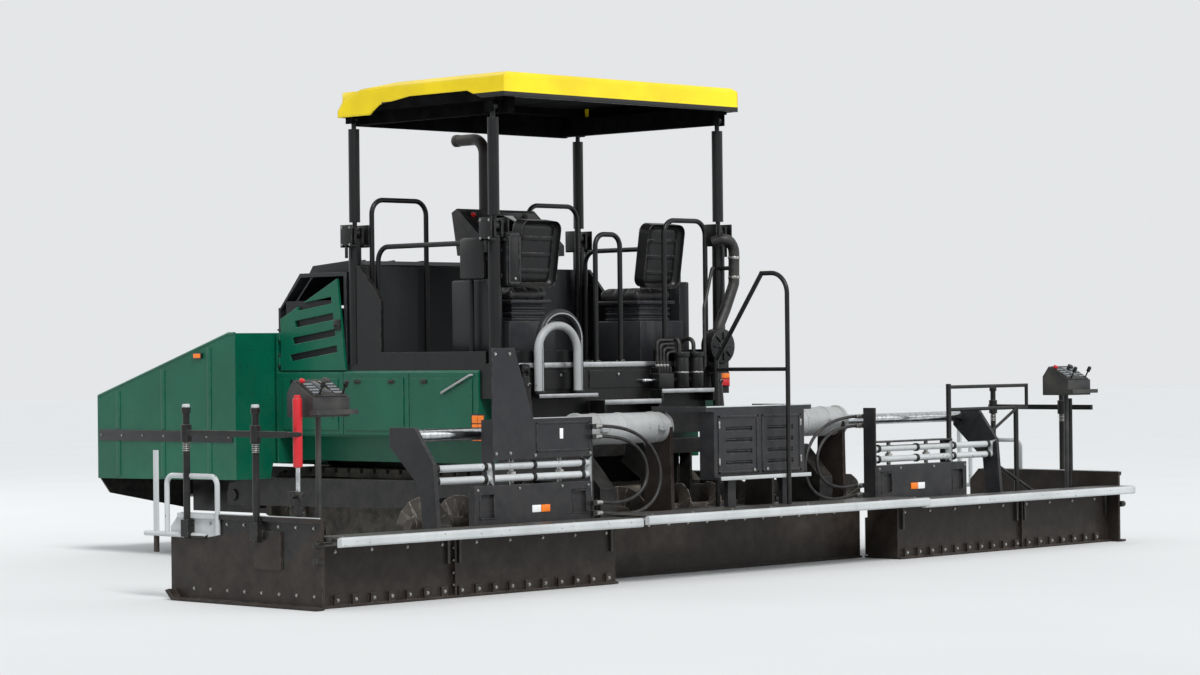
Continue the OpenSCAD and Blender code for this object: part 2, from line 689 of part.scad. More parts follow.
// Middle screed: sole plate, tamper, body and the cradles for the telescope housings
module screed_body() {
    w = base_w / 2;
    x0 = base_back + 40;
    color("#2a2422") {
        box(base_back, base_front, -w, w, 0, sole_t);
        box(base_back + 20, base_front - 40, -w, w, sole_t, screed_h);
        box(base_front - 40, base_front - 10, -w, w, sole_t + 6, 300);
        box(base_back, base_front, -w, w, screed_h, screed_h + 30);
        both_sides() for (y = [520, 1330]) difference() {
            side_plate([[x0 - 10, screed_h + 30], [x0 + 260, screed_h + 30], [x0 + 240, tele_z],
                [x0, tele_z]], y, y + 30);
            bar_y(tele_mid, tele_z, housing_r, y - 1, y + 31);
        }
    }
}
tele_mid = base_back + 150;
tele_off = housing_r - tele_r - 16;
housing_in = 480;
housing_out = ext_out - 40 - ext_travel - 70;
module telescope_housings() {
    color("#8f9396") for (s = [1, -1]) mirrored(s) difference() {
        translate([tele_mid, housing_in, tele_z]) rotate([-90, 0, 0]) rotate_extrude()
            polygon([[0, 0], [housing_r - 34, 0], [housing_r - 12, 12], [housing_r, 34],
                [housing_r, housing_out - housing_in], [0, housing_out - housing_in]]);
        bar_y(tele_mid, tele_z, housing_r - 8, housing_in + 20, housing_out - 30);
        for (x = [-tele_off, tele_off])
            bar_y(tele_mid + x, tele_z, tele_r + 5, housing_in - 1, housing_in + 21);
        bar_y(tele_mid - s * tele_off, tele_z, tele_r + pin_gap, housing_out - 31, housing_out + 1);
    }
}
// Cabinet with louvres, hung behind the housings on two bars
cab_back = 340;
cab_front = 480;
module control_cabinet() {
    top = tele_z + housing_r + seat_gap;
    color("#3f4346") {
        difference() {
            box(cab_back, cab_front, -480, 480, 660, top);
            for (y = [-360, 80]) for (i = [0:3]) box(cab_back - 1, cab_back + 10, y, y + 280, 760 + i * 80, 790 + i * 80);
        }
        box(cab_back, cab_front, -560, 560, top, top + 36);
        both_sides() {
            box(cab_front, tele_mid + 60, 510, 560, top, top + 36);
            box(cab_back + 10, cab_back + 50, 250, 330, walk_h, 660);
        }
        box(cab_back - 60, cab_back, -480, 480, 660, 680);
    }
}
// Hand rail of the rear step: one tube bent over from the walkway to the middle screed
module access_rail() {
    x = cab_back - 82;
    y = -215;
    color("#1d1e1f") {
        bent_tube([[x, y, walk_h], [x, y, 2120], [x + 250, y, 2120]], 17, 150);
        rod_between([x + 240, y, 2122], [x + 690, y, 1500], 17);
        bar_z(x + 690, y, 17, screed_h + 30, 1512);
        bar_x(y, 1430, 14, x, x + 690);
    }
}
nosing_h = 62;
module walkway_middle() {
    w = base_w / 2;
    color("#4a4c4e") box(20, walk_depth + 110, -w, w, walk_h - 10, walk_h);
    color("#c4c6c6") hull() {
        box(20, 40, -w, w, walk_h - nosing_h, walk_h);
        bar_y(18, walk_h - 18, 18, -w, w);
        bar_y(18, walk_h - nosing_h + 18, 18, -w, w);
    }
}

// Extension unit with its bolted section
module ext_body(s) {
    mirrored(s) color("#2a2422") {
        box(ext_back, ext_front, ext_in, side_y, 0, sole_t);
        box(ext_back + 30, ext_front - 30, ext_in, side_y, sole_t, screed_h);
        box(ext_front - 30, ext_front - 6, ext_in, side_y, sole_t + 6, 300);
        for (y = [ext_in + 60:150:side_y - 60]) box(ext_back + 8, ext_back + 30, y, y + 50, sole_t, sole_t + 60);
        box(ext_back, ext_front, ext_out - 6, ext_out + 6, sole_t, screed_h + 15);
    }
}
// Guard, control box, guide tubes and the bracket of the telescope's outer end
guard_back = 525;
guard_front = 640;
guard_z = 1125;
module ext_guard(s) {
    y1 = ext_in + guard_w;
    bracket = ext_out - 40;
    mirrored(s) {
        color("#34373a") {
            difference() {
                box(guard_back, guard_back + 60, ext_in + 20, ext_in + 1100, screed_h, 690);
                for (y = [ext_in + 60, ext_in + 920])
                    box(guard_back - 1, guard_back + 20, y, y + 140, screed_h + 90, 640);
            }
            if (s > 0) {
                cross_plate([[ext_in, 860], [ext_in, guard_z], [y1 - 370, guard_z], [y1 - 200, guard_top],
                    [y1, guard_top], [y1, 860]], guard_back, guard_back + 12);
                box(guard_back + 12, guard_front, ext_in, y1 - 370, guard_z - 12, guard_z);
            }
            box(guard_back, guard_front, ext_in, y1, 860, 872);
            box(guard_back, guard_front, ext_in, ext_in + 12, screed_h, guard_z);
            box(guard_back, guard_front, y1 - 12, y1, screed_h, s > 0 ? guard_z : 872);
            side_plate([[guard_back - 60, screed_h], [ext_front - 30, screed_h], [ext_front, 700],
                [tele_mid + 120, 960], [tele_mid + 120, 1085], [guard_back + 160, 1085], [guard_back - 20, 850]],
                bracket, bracket + 30);
            for (z = concat(hose_top, hose_low))
                box(s > 0 ? hose_x(s) - 17 : guard_front, s > 0 ? guard_back : hose_x(s) + 17,
                    ext_in, ext_in + 34, z - 17, z + 17);
        }
        color("#b9bcbd") for (z = [735, 815]) bar_y(guard_back + 40, z, 24, ext_in + 12, bracket);
    }
}
module telescope(s) {
    mirrored(s) color("#c9cbcc") bar_y(tele_mid - s * tele_off, tele_z, tele_r, 900, ext_out - 40);
}
module walkway(s) {
    top = walk_h - 15;
    mirrored(s) {
        color("#4a4c4e") {
            box(64, ext_back + 20, ext_in, side_y, top - 10, top);
            for (y = [ext_in + 40, ext_out - 60, ext_out + 40, side_y - 60])
                box(ext_back + 8, ext_back + 30, y, y + 20, 220, top - 10);
        }
        color("#c4c6c6") hull() {
            box(66, 86, ext_in, side_y, top - nosing_h, top);
            bar_y(64, top - 18, 18, ext_in, side_y);
            bar_y(64, top - nosing_h + 18, 18, ext_in, side_y);
        }
    }
}

// End gate: plate on a skid, with its lifting spindles, their beam, the hoop and the front guide
module end_gate(s) {
    x0 = 210;
    x1 = x0 + gate_len;
    post_y0 = gate_out + 32;
    mirrored(s) {
        color("#3a2f2b") {
            side_plate([[x0, 0], [x1 - 60, 0], [x1, 60], [x1, gate_h - 90], [x1 - 90, gate_h],
                [x0, gate_h]], side_y, gate_out);
            side_plate([[x0 - 10, 0], [x1 - 70, 0], [x1 - 5, 60], [x1 - 40, 70], [x1 - 90, 16],
                [x0 - 10, 16]], gate_out, gate_out + 60);
            box(x0, x1 - 90, gate_out, gate_out + 20, gate_h - 30, gate_h);
            box(x0 + 380, x0 + 640, gate_out, gate_out + 14, gate_h - 330, gate_h - 90);
        }
        color("#1f2021") {
            for (x = [x0 + 590, x1 - 210]) {
                bar_z(x, post_y0, 22, gate_h - 160, 1210);
                bar_z(x, post_y0, 34, 1020, 1130);
                bar_z(x, post_y0, 30, 1205, 1240);
                box(x - 36, x + 36, gate_out, gate_out + 56, gate_h - 150, gate_h - 40);
            }
            box(x0 + 290, x1 - 170, post_y0 - 14, post_y0 + 14, 1055, 1095);
        }
        color("#b9bcbd") {
            bent_tube([[x1 - 500, gate_out + 14, gate_h - 130], [x1 - 500, gate_out + 14, 800],
                [x1 + 20, gate_out + 14, 800], [x1 + 20, gate_out + 14, 410]], 17, 60);
            bar_x(gate_out + 14, 420, 17, x1 - 380, x1 + 250);
            box(x1 + 118, x1 + 152, gate_out + 4, gate_out + 24, 300, 960);
        }
    }
}

// Side controls: a panel on a post at each outer end of the screed
module side_control(s) {
    x = ext_back + 250;
    y = side_y - 240;
    mirrored(s) color("#2a2c2e") {
        bar_z(x, y, 18, screed_h, 1195);
        box(x - 60, x + 60, y - 60, y + 60, screed_h, screed_h + 12);
        side_plate([[x - 130, 1180], [x + 120, 1180], [x + 120, 1330], [x + 60, 1410], [x - 130, 1300]],
            y - 150, y + 150);
        box(x - 190, x - 125, y - 170, y + 170, 1195, 1225);
    }
}

// Railing over the right-hand bolted section: a closed hoop on posts, with a brace below
module outer_rail() {
    x = ext_front - 26;
    y0 = ext_in + 1000;
    hoop_z = [1090, 1265];
    color("#242628") mirrored(-1) {
        for (post = [[y0, 1290], [ext_out + 360, 1110], [side_y - 90, 1150]]) {
            bar_z(x, post[0], 20, screed_h, post[1]);
            box(x - 20, x + 30, post[0] - 40, post[0] + 40, screed_h, screed_h + 15);
        }
        for (z = hoop_z) bar_y(x, z, 14, y0, ext_out + 500);
        bar_z(x, ext_out + 500, 14, hoop_z[0] - 14, hoop_z[1] + 14);
        rod_between([x, ext_out + 26, 900], [x, ext_out + 360, 1080], 12);
        bar_z(x, ext_out + 26, 14, screed_h, 912);
        rod_between([x, ext_out + 4, 690], [x, side_y - 560, screed_h + 16], 16);
    }
}

// Hoses looped from fitting to fitting at each extension's inner end, swept along their routes
hose_r = 12;
hose_sides = 10;
function hose_x(s) = s > 0 ? guard_back - 22 : guard_front + 22;
hose_top = [1060, 990];
hose_low = [470, 540];
// Points of the outer and the inner route, as distance from the middle and height
hose_routes = [
    [[1505, 1060], [1440, 1060], [1370, 1057], [1300, 1050], [1230, 1039], [1160, 1022],
        [1095, 998], [1030, 965], [970, 922], [920, 868], [882, 804], [862, 734], [864, 662],
        [888, 594], [932, 538], [990, 498], [1058, 472], [1130, 458], [1202, 453], [1275, 456],
        [1358, 464], [1440, 470], [1505, 470]],
    [[1505, 990], [1440, 990], [1370, 987], [1300, 979], [1230, 966], [1165, 945], [1105, 914],
        [1053, 872], [1015, 820], [995, 760], [997, 698], [1022, 642], [1066, 598], [1120, 568],
        [1180, 549], [1245, 538], [1310, 534], [1375, 536], [1440, 540], [1505, 540]]];
module hose(s, route) {
    last = len(route) - 1;
    n = hose_sides;
    rings = [for (i = [0:last])
        let (along = unit(route[min(i + 1, last)] - route[max(i - 1, 0)]), out = [-along[1], along[0]])
            for (j = [0:n - 1]) let (a = 360 * j / n, spot = route[i] + hose_r * sin(a) * out)
                [hose_x(s) + hose_r * cos(a), spot[0], spot[1]]];
    start_cap = [for (j = [n - 1:-1:0]) j];
    end_cap = [for (j = [0:n - 1]) last * n + j];
    sides = [for (i = [0:last - 1]) for (j = [0:n - 1])
        [i * n + j, i * n + (j + 1) % n, (i + 1) * n + (j + 1) % n, (i + 1) * n + j]];
    mirrored(s) color("#151515") polyhedron(points = rings, faces = concat([start_cap, end_cap], sides));
}

// Screed lift cylinders between the tractor's tail and the tow arms
lift_dir = unit([eye_x - lift_x, 0, eye_z - lift_z]);
eye_play = 4.5;
barrel_end = 392;
module lift_barrels() {
    color("#26282a") both_sides() {
        top = [lift_x, lift_y, lift_z];
        difference() {
            union() {
                bar_y(lift_x, lift_z, 36, lift_y - 18, lift_y + 18);
                rod_between(top + 20 * lift_dir, top + 60 * lift_dir, 17);
                rod_between(top + 56 * lift_dir, top + barrel_end * lift_dir, 42);
            }
            bar_y(lift_x, lift_z, lift_pin_r + pin_gap, lift_y - 60, lift_y + 60);
            rod_between(top + 68 * lift_dir, top + (barrel_end + 1) * lift_dir, 25 + pin_gap);
        }
    }
}
module lift_rods() {
    color("#c9cbcc") both_sides() {
        eye = [eye_x, lift_y, eye_z];
        difference() {
            union() {
                bar_y(eye_x, eye_z, eye_r, lift_y - 18, lift_y + 18);
                rod_between(eye - 25 * lift_dir, eye - 355 * lift_dir, 25);
            }
            bar_y(eye_x, eye_z, lift_pin_r + eye_play, lift_y - 60, lift_y + 60);
        }
    }
}

module placed() {
    translate([-total_len / 2, 0, 0]) children();
}
placed() chassis();
placed() running_gear(1);  // running_gear_left
placed() running_gear(-1);  // running_gear_right
placed() track(1);  // track_left
placed() track(-1);  // track_right
placed() conveyors();
placed() side_tank(1);  // side_tank_left
placed() side_tank(-1);  // side_tank_right
placed() bulkhead();
placed() engine();
placed() hood();
placed() grille(1);  // grille_left
placed() grille(-1);  // grille_right
placed() platform();
placed() rails();
placed() seat(1);  // seat_left
placed() seat(-1);  // seat_right
placed() console();
placed() lower_posts();
placed() upper_posts(post_back_x);  // rear_posts
placed() upper_posts(post_front_x);  // front_posts
placed() roof();
placed() exhaust();
placed() auger_frame();
placed() auger(1);  // auger_left
placed() auger(-1);  // auger_right
placed() push_bar();
placed() push_roller(1);  // push_roller_left
placed() push_roller(-1);  // push_roller_right
placed() wing(1);  // wing_left
placed() wing(-1);  // wing_right
placed() screed_arms();
placed() screed_body();
placed() telescope_housings();
placed() control_cabinet();
placed() access_rail();
placed() walkway_middle();
placed() ext_body(1);  // ext_body_left
placed() ext_body(-1);  // ext_body_right
placed() ext_guard(1);  // ext_guard_left
placed() ext_guard(-1);  // ext_guard_right
placed() telescope(1);  // telescope_left
placed() telescope(-1);  // telescope_right
placed() walkway(1);  // walkway_left
placed() walkway(-1);  // walkway_right
placed() end_gate(1);  // end_gate_left
placed() end_gate(-1);  // end_gate_right
placed() hose(1, hose_routes[0]);  // hose_outer_left
placed() hose(1, hose_routes[1]);  // hose_inner_left
placed() hose(-1, hose_routes[0]);  // hose_outer_right
placed() hose(-1, hose_routes[1]);  // hose_inner_right
placed() lift_barrels();
placed() lift_rods();
placed() conduits();
placed() side_control(1);  // side_control_left
placed() side_control(-1);  // side_control_right
placed() outer_rail();
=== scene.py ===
import json
import math

import bpy
from mathutils import Matrix, Quaternion, Vector

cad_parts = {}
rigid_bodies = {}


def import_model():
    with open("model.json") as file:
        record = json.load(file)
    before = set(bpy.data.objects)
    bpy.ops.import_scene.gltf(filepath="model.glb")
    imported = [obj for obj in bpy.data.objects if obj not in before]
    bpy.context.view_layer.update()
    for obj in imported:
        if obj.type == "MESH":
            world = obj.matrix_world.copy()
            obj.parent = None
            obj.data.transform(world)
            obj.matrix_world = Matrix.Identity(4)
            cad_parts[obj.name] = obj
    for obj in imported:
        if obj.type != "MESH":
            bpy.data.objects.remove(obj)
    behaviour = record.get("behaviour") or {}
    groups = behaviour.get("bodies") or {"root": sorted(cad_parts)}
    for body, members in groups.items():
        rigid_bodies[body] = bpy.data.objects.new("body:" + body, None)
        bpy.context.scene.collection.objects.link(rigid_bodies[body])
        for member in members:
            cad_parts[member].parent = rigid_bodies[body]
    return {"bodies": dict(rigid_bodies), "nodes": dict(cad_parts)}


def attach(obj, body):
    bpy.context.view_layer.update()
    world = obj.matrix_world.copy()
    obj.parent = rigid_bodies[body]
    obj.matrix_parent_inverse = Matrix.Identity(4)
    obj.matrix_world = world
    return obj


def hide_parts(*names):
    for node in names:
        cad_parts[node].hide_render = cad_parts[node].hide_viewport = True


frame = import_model()
scene = bpy.context.scene
nodes = frame["nodes"]


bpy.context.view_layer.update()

# Camera: at eye height, behind and to the left of the machine, on a long lens.
eye = Vector((-17.662, 16.664, 1.568))
aim = Vector((-3.45, 2.26, 1.66))
lens_mm = 94.0
roll_deg = -0.62
camera = bpy.data.objects.new("camera", bpy.data.cameras.new("camera"))
scene.collection.objects.link(camera)
camera.data.lens = lens_mm
camera.data.clip_end = 200
camera.location = eye
camera.rotation_mode = "QUATERNION"
camera.rotation_quaternion = (aim - eye).to_track_quat("-Z", "Y") @ Quaternion(
    (0, 0, 1), math.radians(roll_deg))
scene.camera = camera

# Hoses: four hydraulic hoses of 24 mm, wire-braided under black rubber, so they are stiff.
# Each leaves an upper fitting at an extension's inner end, sags towards the middle and
# comes back to a lower fitting. The rubber is scuffed and keeps the print of its wrapping.
# A station is the distance ahead of the walkway's rear edge, as in the part's source.
rear_edge = -3.1475


def at(station, y, z):
    """A point from its station, its distance to the left and its height, in metres."""
    return Vector((station + rear_edge, y, z))


def linear(colour):
    """A colour written as an sRGB hex string, as Blender's linear numbers."""
    levels = [int(colour[i:i + 2], 16) / 255 for i in (1, 3, 5)]
    return [v / 12.92 if v <= 0.04045 else ((v + 0.055) / 1.055) ** 2.4 for v in levels] + [1]


def socket_of(source):
    """A node's first output, or the output itself."""
    return getattr(source, "outputs", [source])[0]


def add_node(mat, kind, links=(), values=(), **settings):
    """Adds a node with its settings, links from other nodes or outputs, and plain input values."""
    made = mat.node_tree.nodes.new("ShaderNode" + kind)
    for name, value in settings.items():
        setattr(made, name, value)
    for socket, value in dict(values).items():
        made.inputs[socket].default_value = value
    for socket, source in dict(links).items():
        mat.node_tree.links.new(socket_of(source), made.inputs[socket])
    return made


def new_material(name, **values):
    """A material with its surface node, whose plain inputs are given, ready for its pattern."""
    mat = bpy.data.materials.new(name)
    mat.use_nodes = True
    mat.node_tree.nodes.clear()
    surface = add_node(mat, "BsdfPrincipled",
        values={key.replace("_", " "): value for key, value in values.items()})
    output = add_node(mat, "OutputMaterial")
    mat.node_tree.links.new(surface.outputs["BSDF"], output.inputs["Surface"])
    return mat, surface


def feed(mat, surface, **sources):
    """Links outputs to the surface's inputs, named with underscores for spaces."""
    for name, source in sources.items():
        mat.node_tree.links.new(socket_of(source), surface.inputs[name.replace("_", " ")])


def mottled(name, dark, light, scale, low=0.35, high=0.7, grain=0.0, depth=0.001, **values):
    """A material that drifts between two colours, with a fine raised grain if one is given."""
    mat, surface = new_material(name, **values)
    place = add_node(mat, "TexCoord").outputs["Object"]
    patches = add_node(mat, "TexNoise", {"Vector": place}, {"Scale": scale, "Detail": 5.0})
    tint = add_node(mat, "ValToRGB", {"Fac": patches})
    for stop, position, colour in zip(tint.color_ramp.elements, (low, high), (dark, light)):
        stop.position = position
        stop.color = linear(colour)
    feed(mat, surface, Base_Color=tint)
    if grain:
        fine = add_node(mat, "TexNoise", {"Vector": place}, {"Scale": grain, "Detail": 2.0})
        relief = add_node(mat, "Bump", {"Height": fine},
            {"Strength": 0.3, "Distance": depth})
        feed(mat, surface, Normal=relief)
    return mat


hose_rubber = mottled("hose_rubber", "#0F0F10", "#34312E", 18.0, grain=420.0, Roughness=0.5)
hose_radius = 0.012
hose_stations = {"_left": 0.503, "_right": 0.662}
hose_routes = {
    "outer": [(1.505, 1.06), (1.44, 1.06), (1.37, 1.057), (1.3, 1.05), (1.23, 1.039), (1.16, 1.022),
        (1.095, 0.998), (1.03, 0.965), (0.97, 0.922), (0.92, 0.868), (0.882, 0.804), (0.862, 0.734),
        (0.864, 0.662), (0.888, 0.594), (0.932, 0.538), (0.99, 0.498), (1.058, 0.472), (1.13, 0.458),
        (1.202, 0.453), (1.275, 0.456), (1.358, 0.464), (1.44, 0.47), (1.505, 0.47)],
    "inner": [(1.505, 0.99), (1.44, 0.99), (1.37, 0.987), (1.3, 0.979), (1.23, 0.966), (1.165, 0.945),
        (1.105, 0.914), (1.053, 0.872), (1.015, 0.82), (0.995, 0.76), (0.997, 0.698), (1.022, 0.642),
        (1.066, 0.598), (1.12, 0.568), (1.18, 0.549), (1.245, 0.538), (1.31, 0.534), (1.375, 0.536),
        (1.44, 0.54), (1.505, 0.54)]}
for end, side in (("_left", 1), ("_right", -1)):
    for which, route in hose_routes.items():
        line = bpy.data.curves.new("hose_" + which + end, "CURVE")
        line.dimensions = "3D"
        line.bevel_depth = hose_radius
        line.bevel_resolution = 5
        line.resolution_u = 6
        spline = line.splines.new("BEZIER")
        spline.bezier_points.add(len(route) - 1)
        for knot, (y, z) in zip(spline.bezier_points, route):
            knot.co = at(hose_stations[end], side * y, z)
            knot.handle_left_type = knot.handle_right_type = "AUTO"
        line.materials.append(hose_rubber)
        hose = bpy.data.objects.new("rubber_hose_" + which + end, line)
        scene.collection.objects.link(hose)
        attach(hose, "extension" + end)
        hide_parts("hose_" + which + end)

# Floor and room: one large pale board of matt paper under soft lamps.
# Its only pattern is a very faint mottle, so that the machine's shadow stays readable.
paper = mottled("matt_paper", "#E0E1E1", "#E6E7E7", 0.6, 0.0, 1.0, Roughness=0.9)
bpy.ops.object.select_all(action="DESELECT")
bpy.ops.mesh.primitive_plane_add(size=160, location=(0, 0, -0.003))
floor = bpy.context.object
floor.name = "floor"
floor.data.materials.append(paper)

world = bpy.data.worlds.new("studio")
scene.world = world
world.use_nodes = True
backdrop = world.node_tree.nodes["Background"]
backdrop.inputs["Color"].default_value = linear("#E4E8EC")
backdrop.inputs["Strength"].default_value = 0.62
rays = add_node(world, "LightPath").outputs
mirrored = add_node(world, "Math", {0: rays["Is Glossy Ray"], 1: rays["Is Transmission Ray"]},
    operation="MAXIMUM")
any_view = add_node(world, "Math", {0: rays["Is Camera Ray"], 1: mirrored}, operation="MAXIMUM")
behind = add_node(world, "Background", values={"Color": linear("#E4E6E8")})
either = add_node(world, "MixShader", {"Fac": any_view, 1: backdrop, 2: behind})
world.node_tree.links.new(either.outputs["Shader"],
    world.node_tree.nodes["World Output"].inputs["Surface"])
for name, kind, spot, size, power in (
        ("key", "SUN", (-11, 5, 13), 0.35, 2.3),
        ("fill", "AREA", (-14, -12, 9), 10, 350),
        ("front", "AREA", (14, 4, 10), 9, 400)):
    lamp = bpy.data.objects.new(name, bpy.data.lights.new(name, kind))
    setattr(lamp.data, "angle" if kind == "SUN" else "size", size)
    lamp.data.energy = power
    lamp.location = spot
    lamp.rotation_mode = "QUATERNION"
    lamp.rotation_quaternion = (Vector((0, 0, 1)) - Vector(spot)).to_track_quat("-Z", "Y")
    scene.collection.objects.link(lamp)
scene.view_settings.view_transform = "Standard"


# Painted body: a two-coat enamel sprayed on pressed and welded steel plate.
# It has a satin sheen, grey dust low down and on ledges, tar specks thrown up by the mix,
# rain streaks down the sides and bright worn corners.
def enamel(name, colour, dust=0.4, rough=0.38, wear="#8C8A85", worn=0.5, specks=0.4, corner=0.005):
    """Sprayed enamel with the dirt of road work over it. Scales are per metre."""
    mat, surface = new_material(name, IOR=1.5, Coat_Weight=0.05,
        Specular_IOR_Level=0.3)
    place = add_node(mat, "TexCoord").outputs["Object"]
    # Colour drifts a little over areas of about half a metre
    drift = add_node(mat, "TexNoise", {"Vector": place}, {"Scale": 2.2, "Detail": 4.0})
    shade = add_node(mat, "MapRange", {"Value": drift},
        {"From Min": 0.3, "From Max": 0.7, "To Min": 0.84, "To Max": 1.1})
    base = add_node(mat, "HueSaturation", {"Value": shade},
        {"Color": linear(colour)})
    # Streaks about 40 mm apart run down the sides
    tall = add_node(mat, "Mapping", {"Vector": place}, {"Scale": (24.0, 24.0, 1.1)})
    streak = add_node(mat, "TexNoise", {"Vector": tall},
        {"Scale": 1.0, "Detail": 5.0, "Roughness": 0.62})
    streak_at = add_node(mat, "MapRange", {"Value": streak},
        {"From Min": 0.52, "From Max": 0.78, "To Min": 0.0, "To Max": 0.5 * dust})
    streaked = add_node(mat, "MixRGB", {"Fac": streak_at,
        "Color1": base}, {"Color2": linear("#3E3A34")})
    # Dust lies thicker towards the ground and on faces that look up
    parts = add_node(mat, "SeparateXYZ", {"Vector": place})
    low = add_node(mat, "MapRange", {"Value": parts.outputs["Z"]},
        {"From Min": 0.1, "From Max": 1.5, "To Min": 0.5 * dust, "To Max": 0.06 * dust})
    true_normal = add_node(mat, "NewGeometry").outputs["Normal"]
    facing = add_node(mat, "SeparateXYZ", {"Vector": true_normal})
    ledge = add_node(mat, "MapRange", {"Value": facing.outputs["Z"]},
        {"From Min": 0.35, "From Max": 0.95, "To Min": 0.0, "To Max": 0.5 * dust})
    lying = add_node(mat, "Math", {0: low, 1: ledge},
        operation="ADD")
    cloud = add_node(mat, "TexNoise", {"Vector": place},
        {"Scale": 9.0, "Detail": 6.0, "Roughness": 0.65})
    patchy = add_node(mat, "MapRange", {"Value": cloud},
        {"From Min": 0.36, "From Max": 0.68, "To Min": 0.1, "To Max": 1.5})
    dusty = add_node(mat, "Math", {0: lying, 1: patchy},
        operation="MULTIPLY", use_clamp=True)
    dusted = add_node(mat, "MixRGB", {"Fac": dusty,
        "Color1": streaked}, {"Color2": linear("#8B8578")})
    # Tar specks of 3 to 6 mm
    cells = add_node(mat, "TexVoronoi", {"Vector": place}, {"Scale": 38.0, "Randomness": 1.0})
    dot = add_node(mat, "Math", {0: cells}, {1: 0.17}, operation="LESS_THAN")
    pick = add_node(mat, "SeparateXYZ", {"Vector": cells.outputs["Color"]})
    some = add_node(mat, "Math", {0: pick}, {1: 0.16 * specks}, operation="LESS_THAN")
    tar = add_node(mat, "Math", {0: dot, 1: some},
        operation="MULTIPLY")
    tarred = add_node(mat, "MixRGB", {"Fac": tar,
        "Color1": dusted}, {"Color2": linear("#191817")})
    # Rounded corners, worn through where the noise allows
    bead = add_node(mat, "Bevel", values={"Radius": corner}, samples=4)
    sharp = add_node(mat, "VectorMath", {0: bead, 1: true_normal},
        operation="DOT_PRODUCT")
    rub = add_node(mat, "TexNoise", {"Vector": place}, {"Scale": 26.0, "Detail": 3.0})
    rub_at = add_node(mat, "MapRange", {"Value": rub},
        {"From Min": 0.42, "From Max": 0.62, "To Min": 0.0, "To Max": worn})
    edge = add_node(mat, "MapRange", {"Value": sharp.outputs["Value"]},
        {"From Min": 0.985, "From Max": 0.93, "To Min": 0.0, "To Max": 1.0})
    bare = add_node(mat, "Math", {0: edge, 1: rub_at},
        operation="MULTIPLY")
    final = add_node(mat, "MixRGB", {"Fac": bare,
        "Color1": tarred}, {"Color2": linear(wear)})
    dull = add_node(mat, "Math", {0: dusty}, {1: 0.45, 2: rough},
        operation="MULTIPLY_ADD", use_clamp=True)
    # Sprayed paint keeps a fine peel of about 4 mm
    peel = add_node(mat, "TexNoise", {"Vector": place}, {"Scale": 240.0, "Detail": 2.0})
    skin = add_node(mat, "Bump", {"Height": peel, "Normal": bead},
        {"Strength": 0.06, "Distance": 0.001})
    feed(mat, surface, Base_Color=final, Roughness=dull,
        Normal=skin)
    return mat


def paint(mat, *names):
    """Gives CAD nodes a material in place of their plain one."""
    for name in names:
        nodes[name].data.materials.clear()
        nodes[name].data.materials.append(mat)


def repaint(mat, name, low, high, steepest=1.0):
    """Gives a CAD node's faces between two corners, on either side, another material."""
    body = nodes[name]
    body.data.materials.append(mat)
    for face in body.data.polygons:
        spot = body.matrix_world @ face.center
        spot = (spot.x - rear_edge, abs(spot.y), spot.z)
        if face.normal.z <= steepest and all(a <= v <= b for a, v, b in zip(low, spot, high)):
            face.material_index = len(body.data.materials) - 1


green = enamel("green_enamel", "#005C44", dust=0.1, rough=0.32)
paint(green, "side_tank_left", "side_tank_right", "grille_left", "grille_right")
paint(green, "wing_left", "wing_right")
charcoal = enamel("charcoal_enamel", "#242529", dust=0.15, rough=0.42)
paint(charcoal, "hood", "control_cabinet", "ext_guard_left", "ext_guard_right", "bulkhead")
repaint(green, "bulkhead", (4.175, 0, 0.7), (4.21, 1.3, 1.76))
black = enamel("black_enamel", "#0E0F11", dust=0.15, rough=0.38)
paint(black, "chassis", "auger_frame", "push_bar", "platform", "lower_posts", "rear_posts")
paint(black, "front_posts", "rails", "access_rail", "exhaust", "screed_arms", "lift_barrels")
paint(black, "outer_rail", "engine")
grey = enamel("grey_enamel", "#AEB0B1", dust=0.35, rough=0.33)
paint(grey, "telescope_housings", "conduits")
# The forward conduit, and the forward faces of the rear one, are painted charcoal: painted shade on a grey
# conduit
repaint(charcoal, "conduits", (1.6783, 0.4, 1.2), (1.75, 1.0, 1.9))


# Track gear: cast wheels and a steel chain with rubber pads, all caked with dust.
# The hubs are turned castings, each closed by a cap and a ring of zinc-plated screws,
# which give small bright points with soft grey reflections.
iron = enamel("cast_iron", "#2B2826", dust=0.7, rough=0.62, worn=0.6)
paint(iron, "running_gear_left", "running_gear_right", "conveyors")
track_rubber = enamel("track_rubber", "#1D1C1B", dust=0.65, rough=0.8, worn=0.0)
paint(track_rubber, "track_left", "track_right")


def soften(piece, edge, segments=2):
    """Rounds a piece's edges with a bevel and lets its faces shade smoothly."""
    if edge:
        bevel = piece.modifiers.new("edges", "BEVEL")
        bevel.width = edge
        bevel.segments = segments
        bevel.limit_method = "ANGLE"
        bpy.ops.object.modifier_apply(modifier=bevel.name)
    bpy.ops.object.shade_smooth_by_angle(angle=math.radians(40))
    return piece


def settle(piece):
    """Puts the piece's place, turn and size into its mesh."""
    bpy.ops.object.transform_apply(location=True, rotation=True, scale=True)
    return piece


def plate(a, b, edge=0.003, turn=(0, 0, 0)):
    """A cut plate or box between two corners, with rounded edges."""
    bpy.ops.object.select_all(action="DESELECT")
    a, b = Vector(a), Vector(b)
    bpy.ops.mesh.primitive_cube_add(size=1, location=(a + b) / 2, rotation=turn)
    made = bpy.context.object
    made.scale = [abs(v) for v in b - a]
    return soften(settle(made), edge)


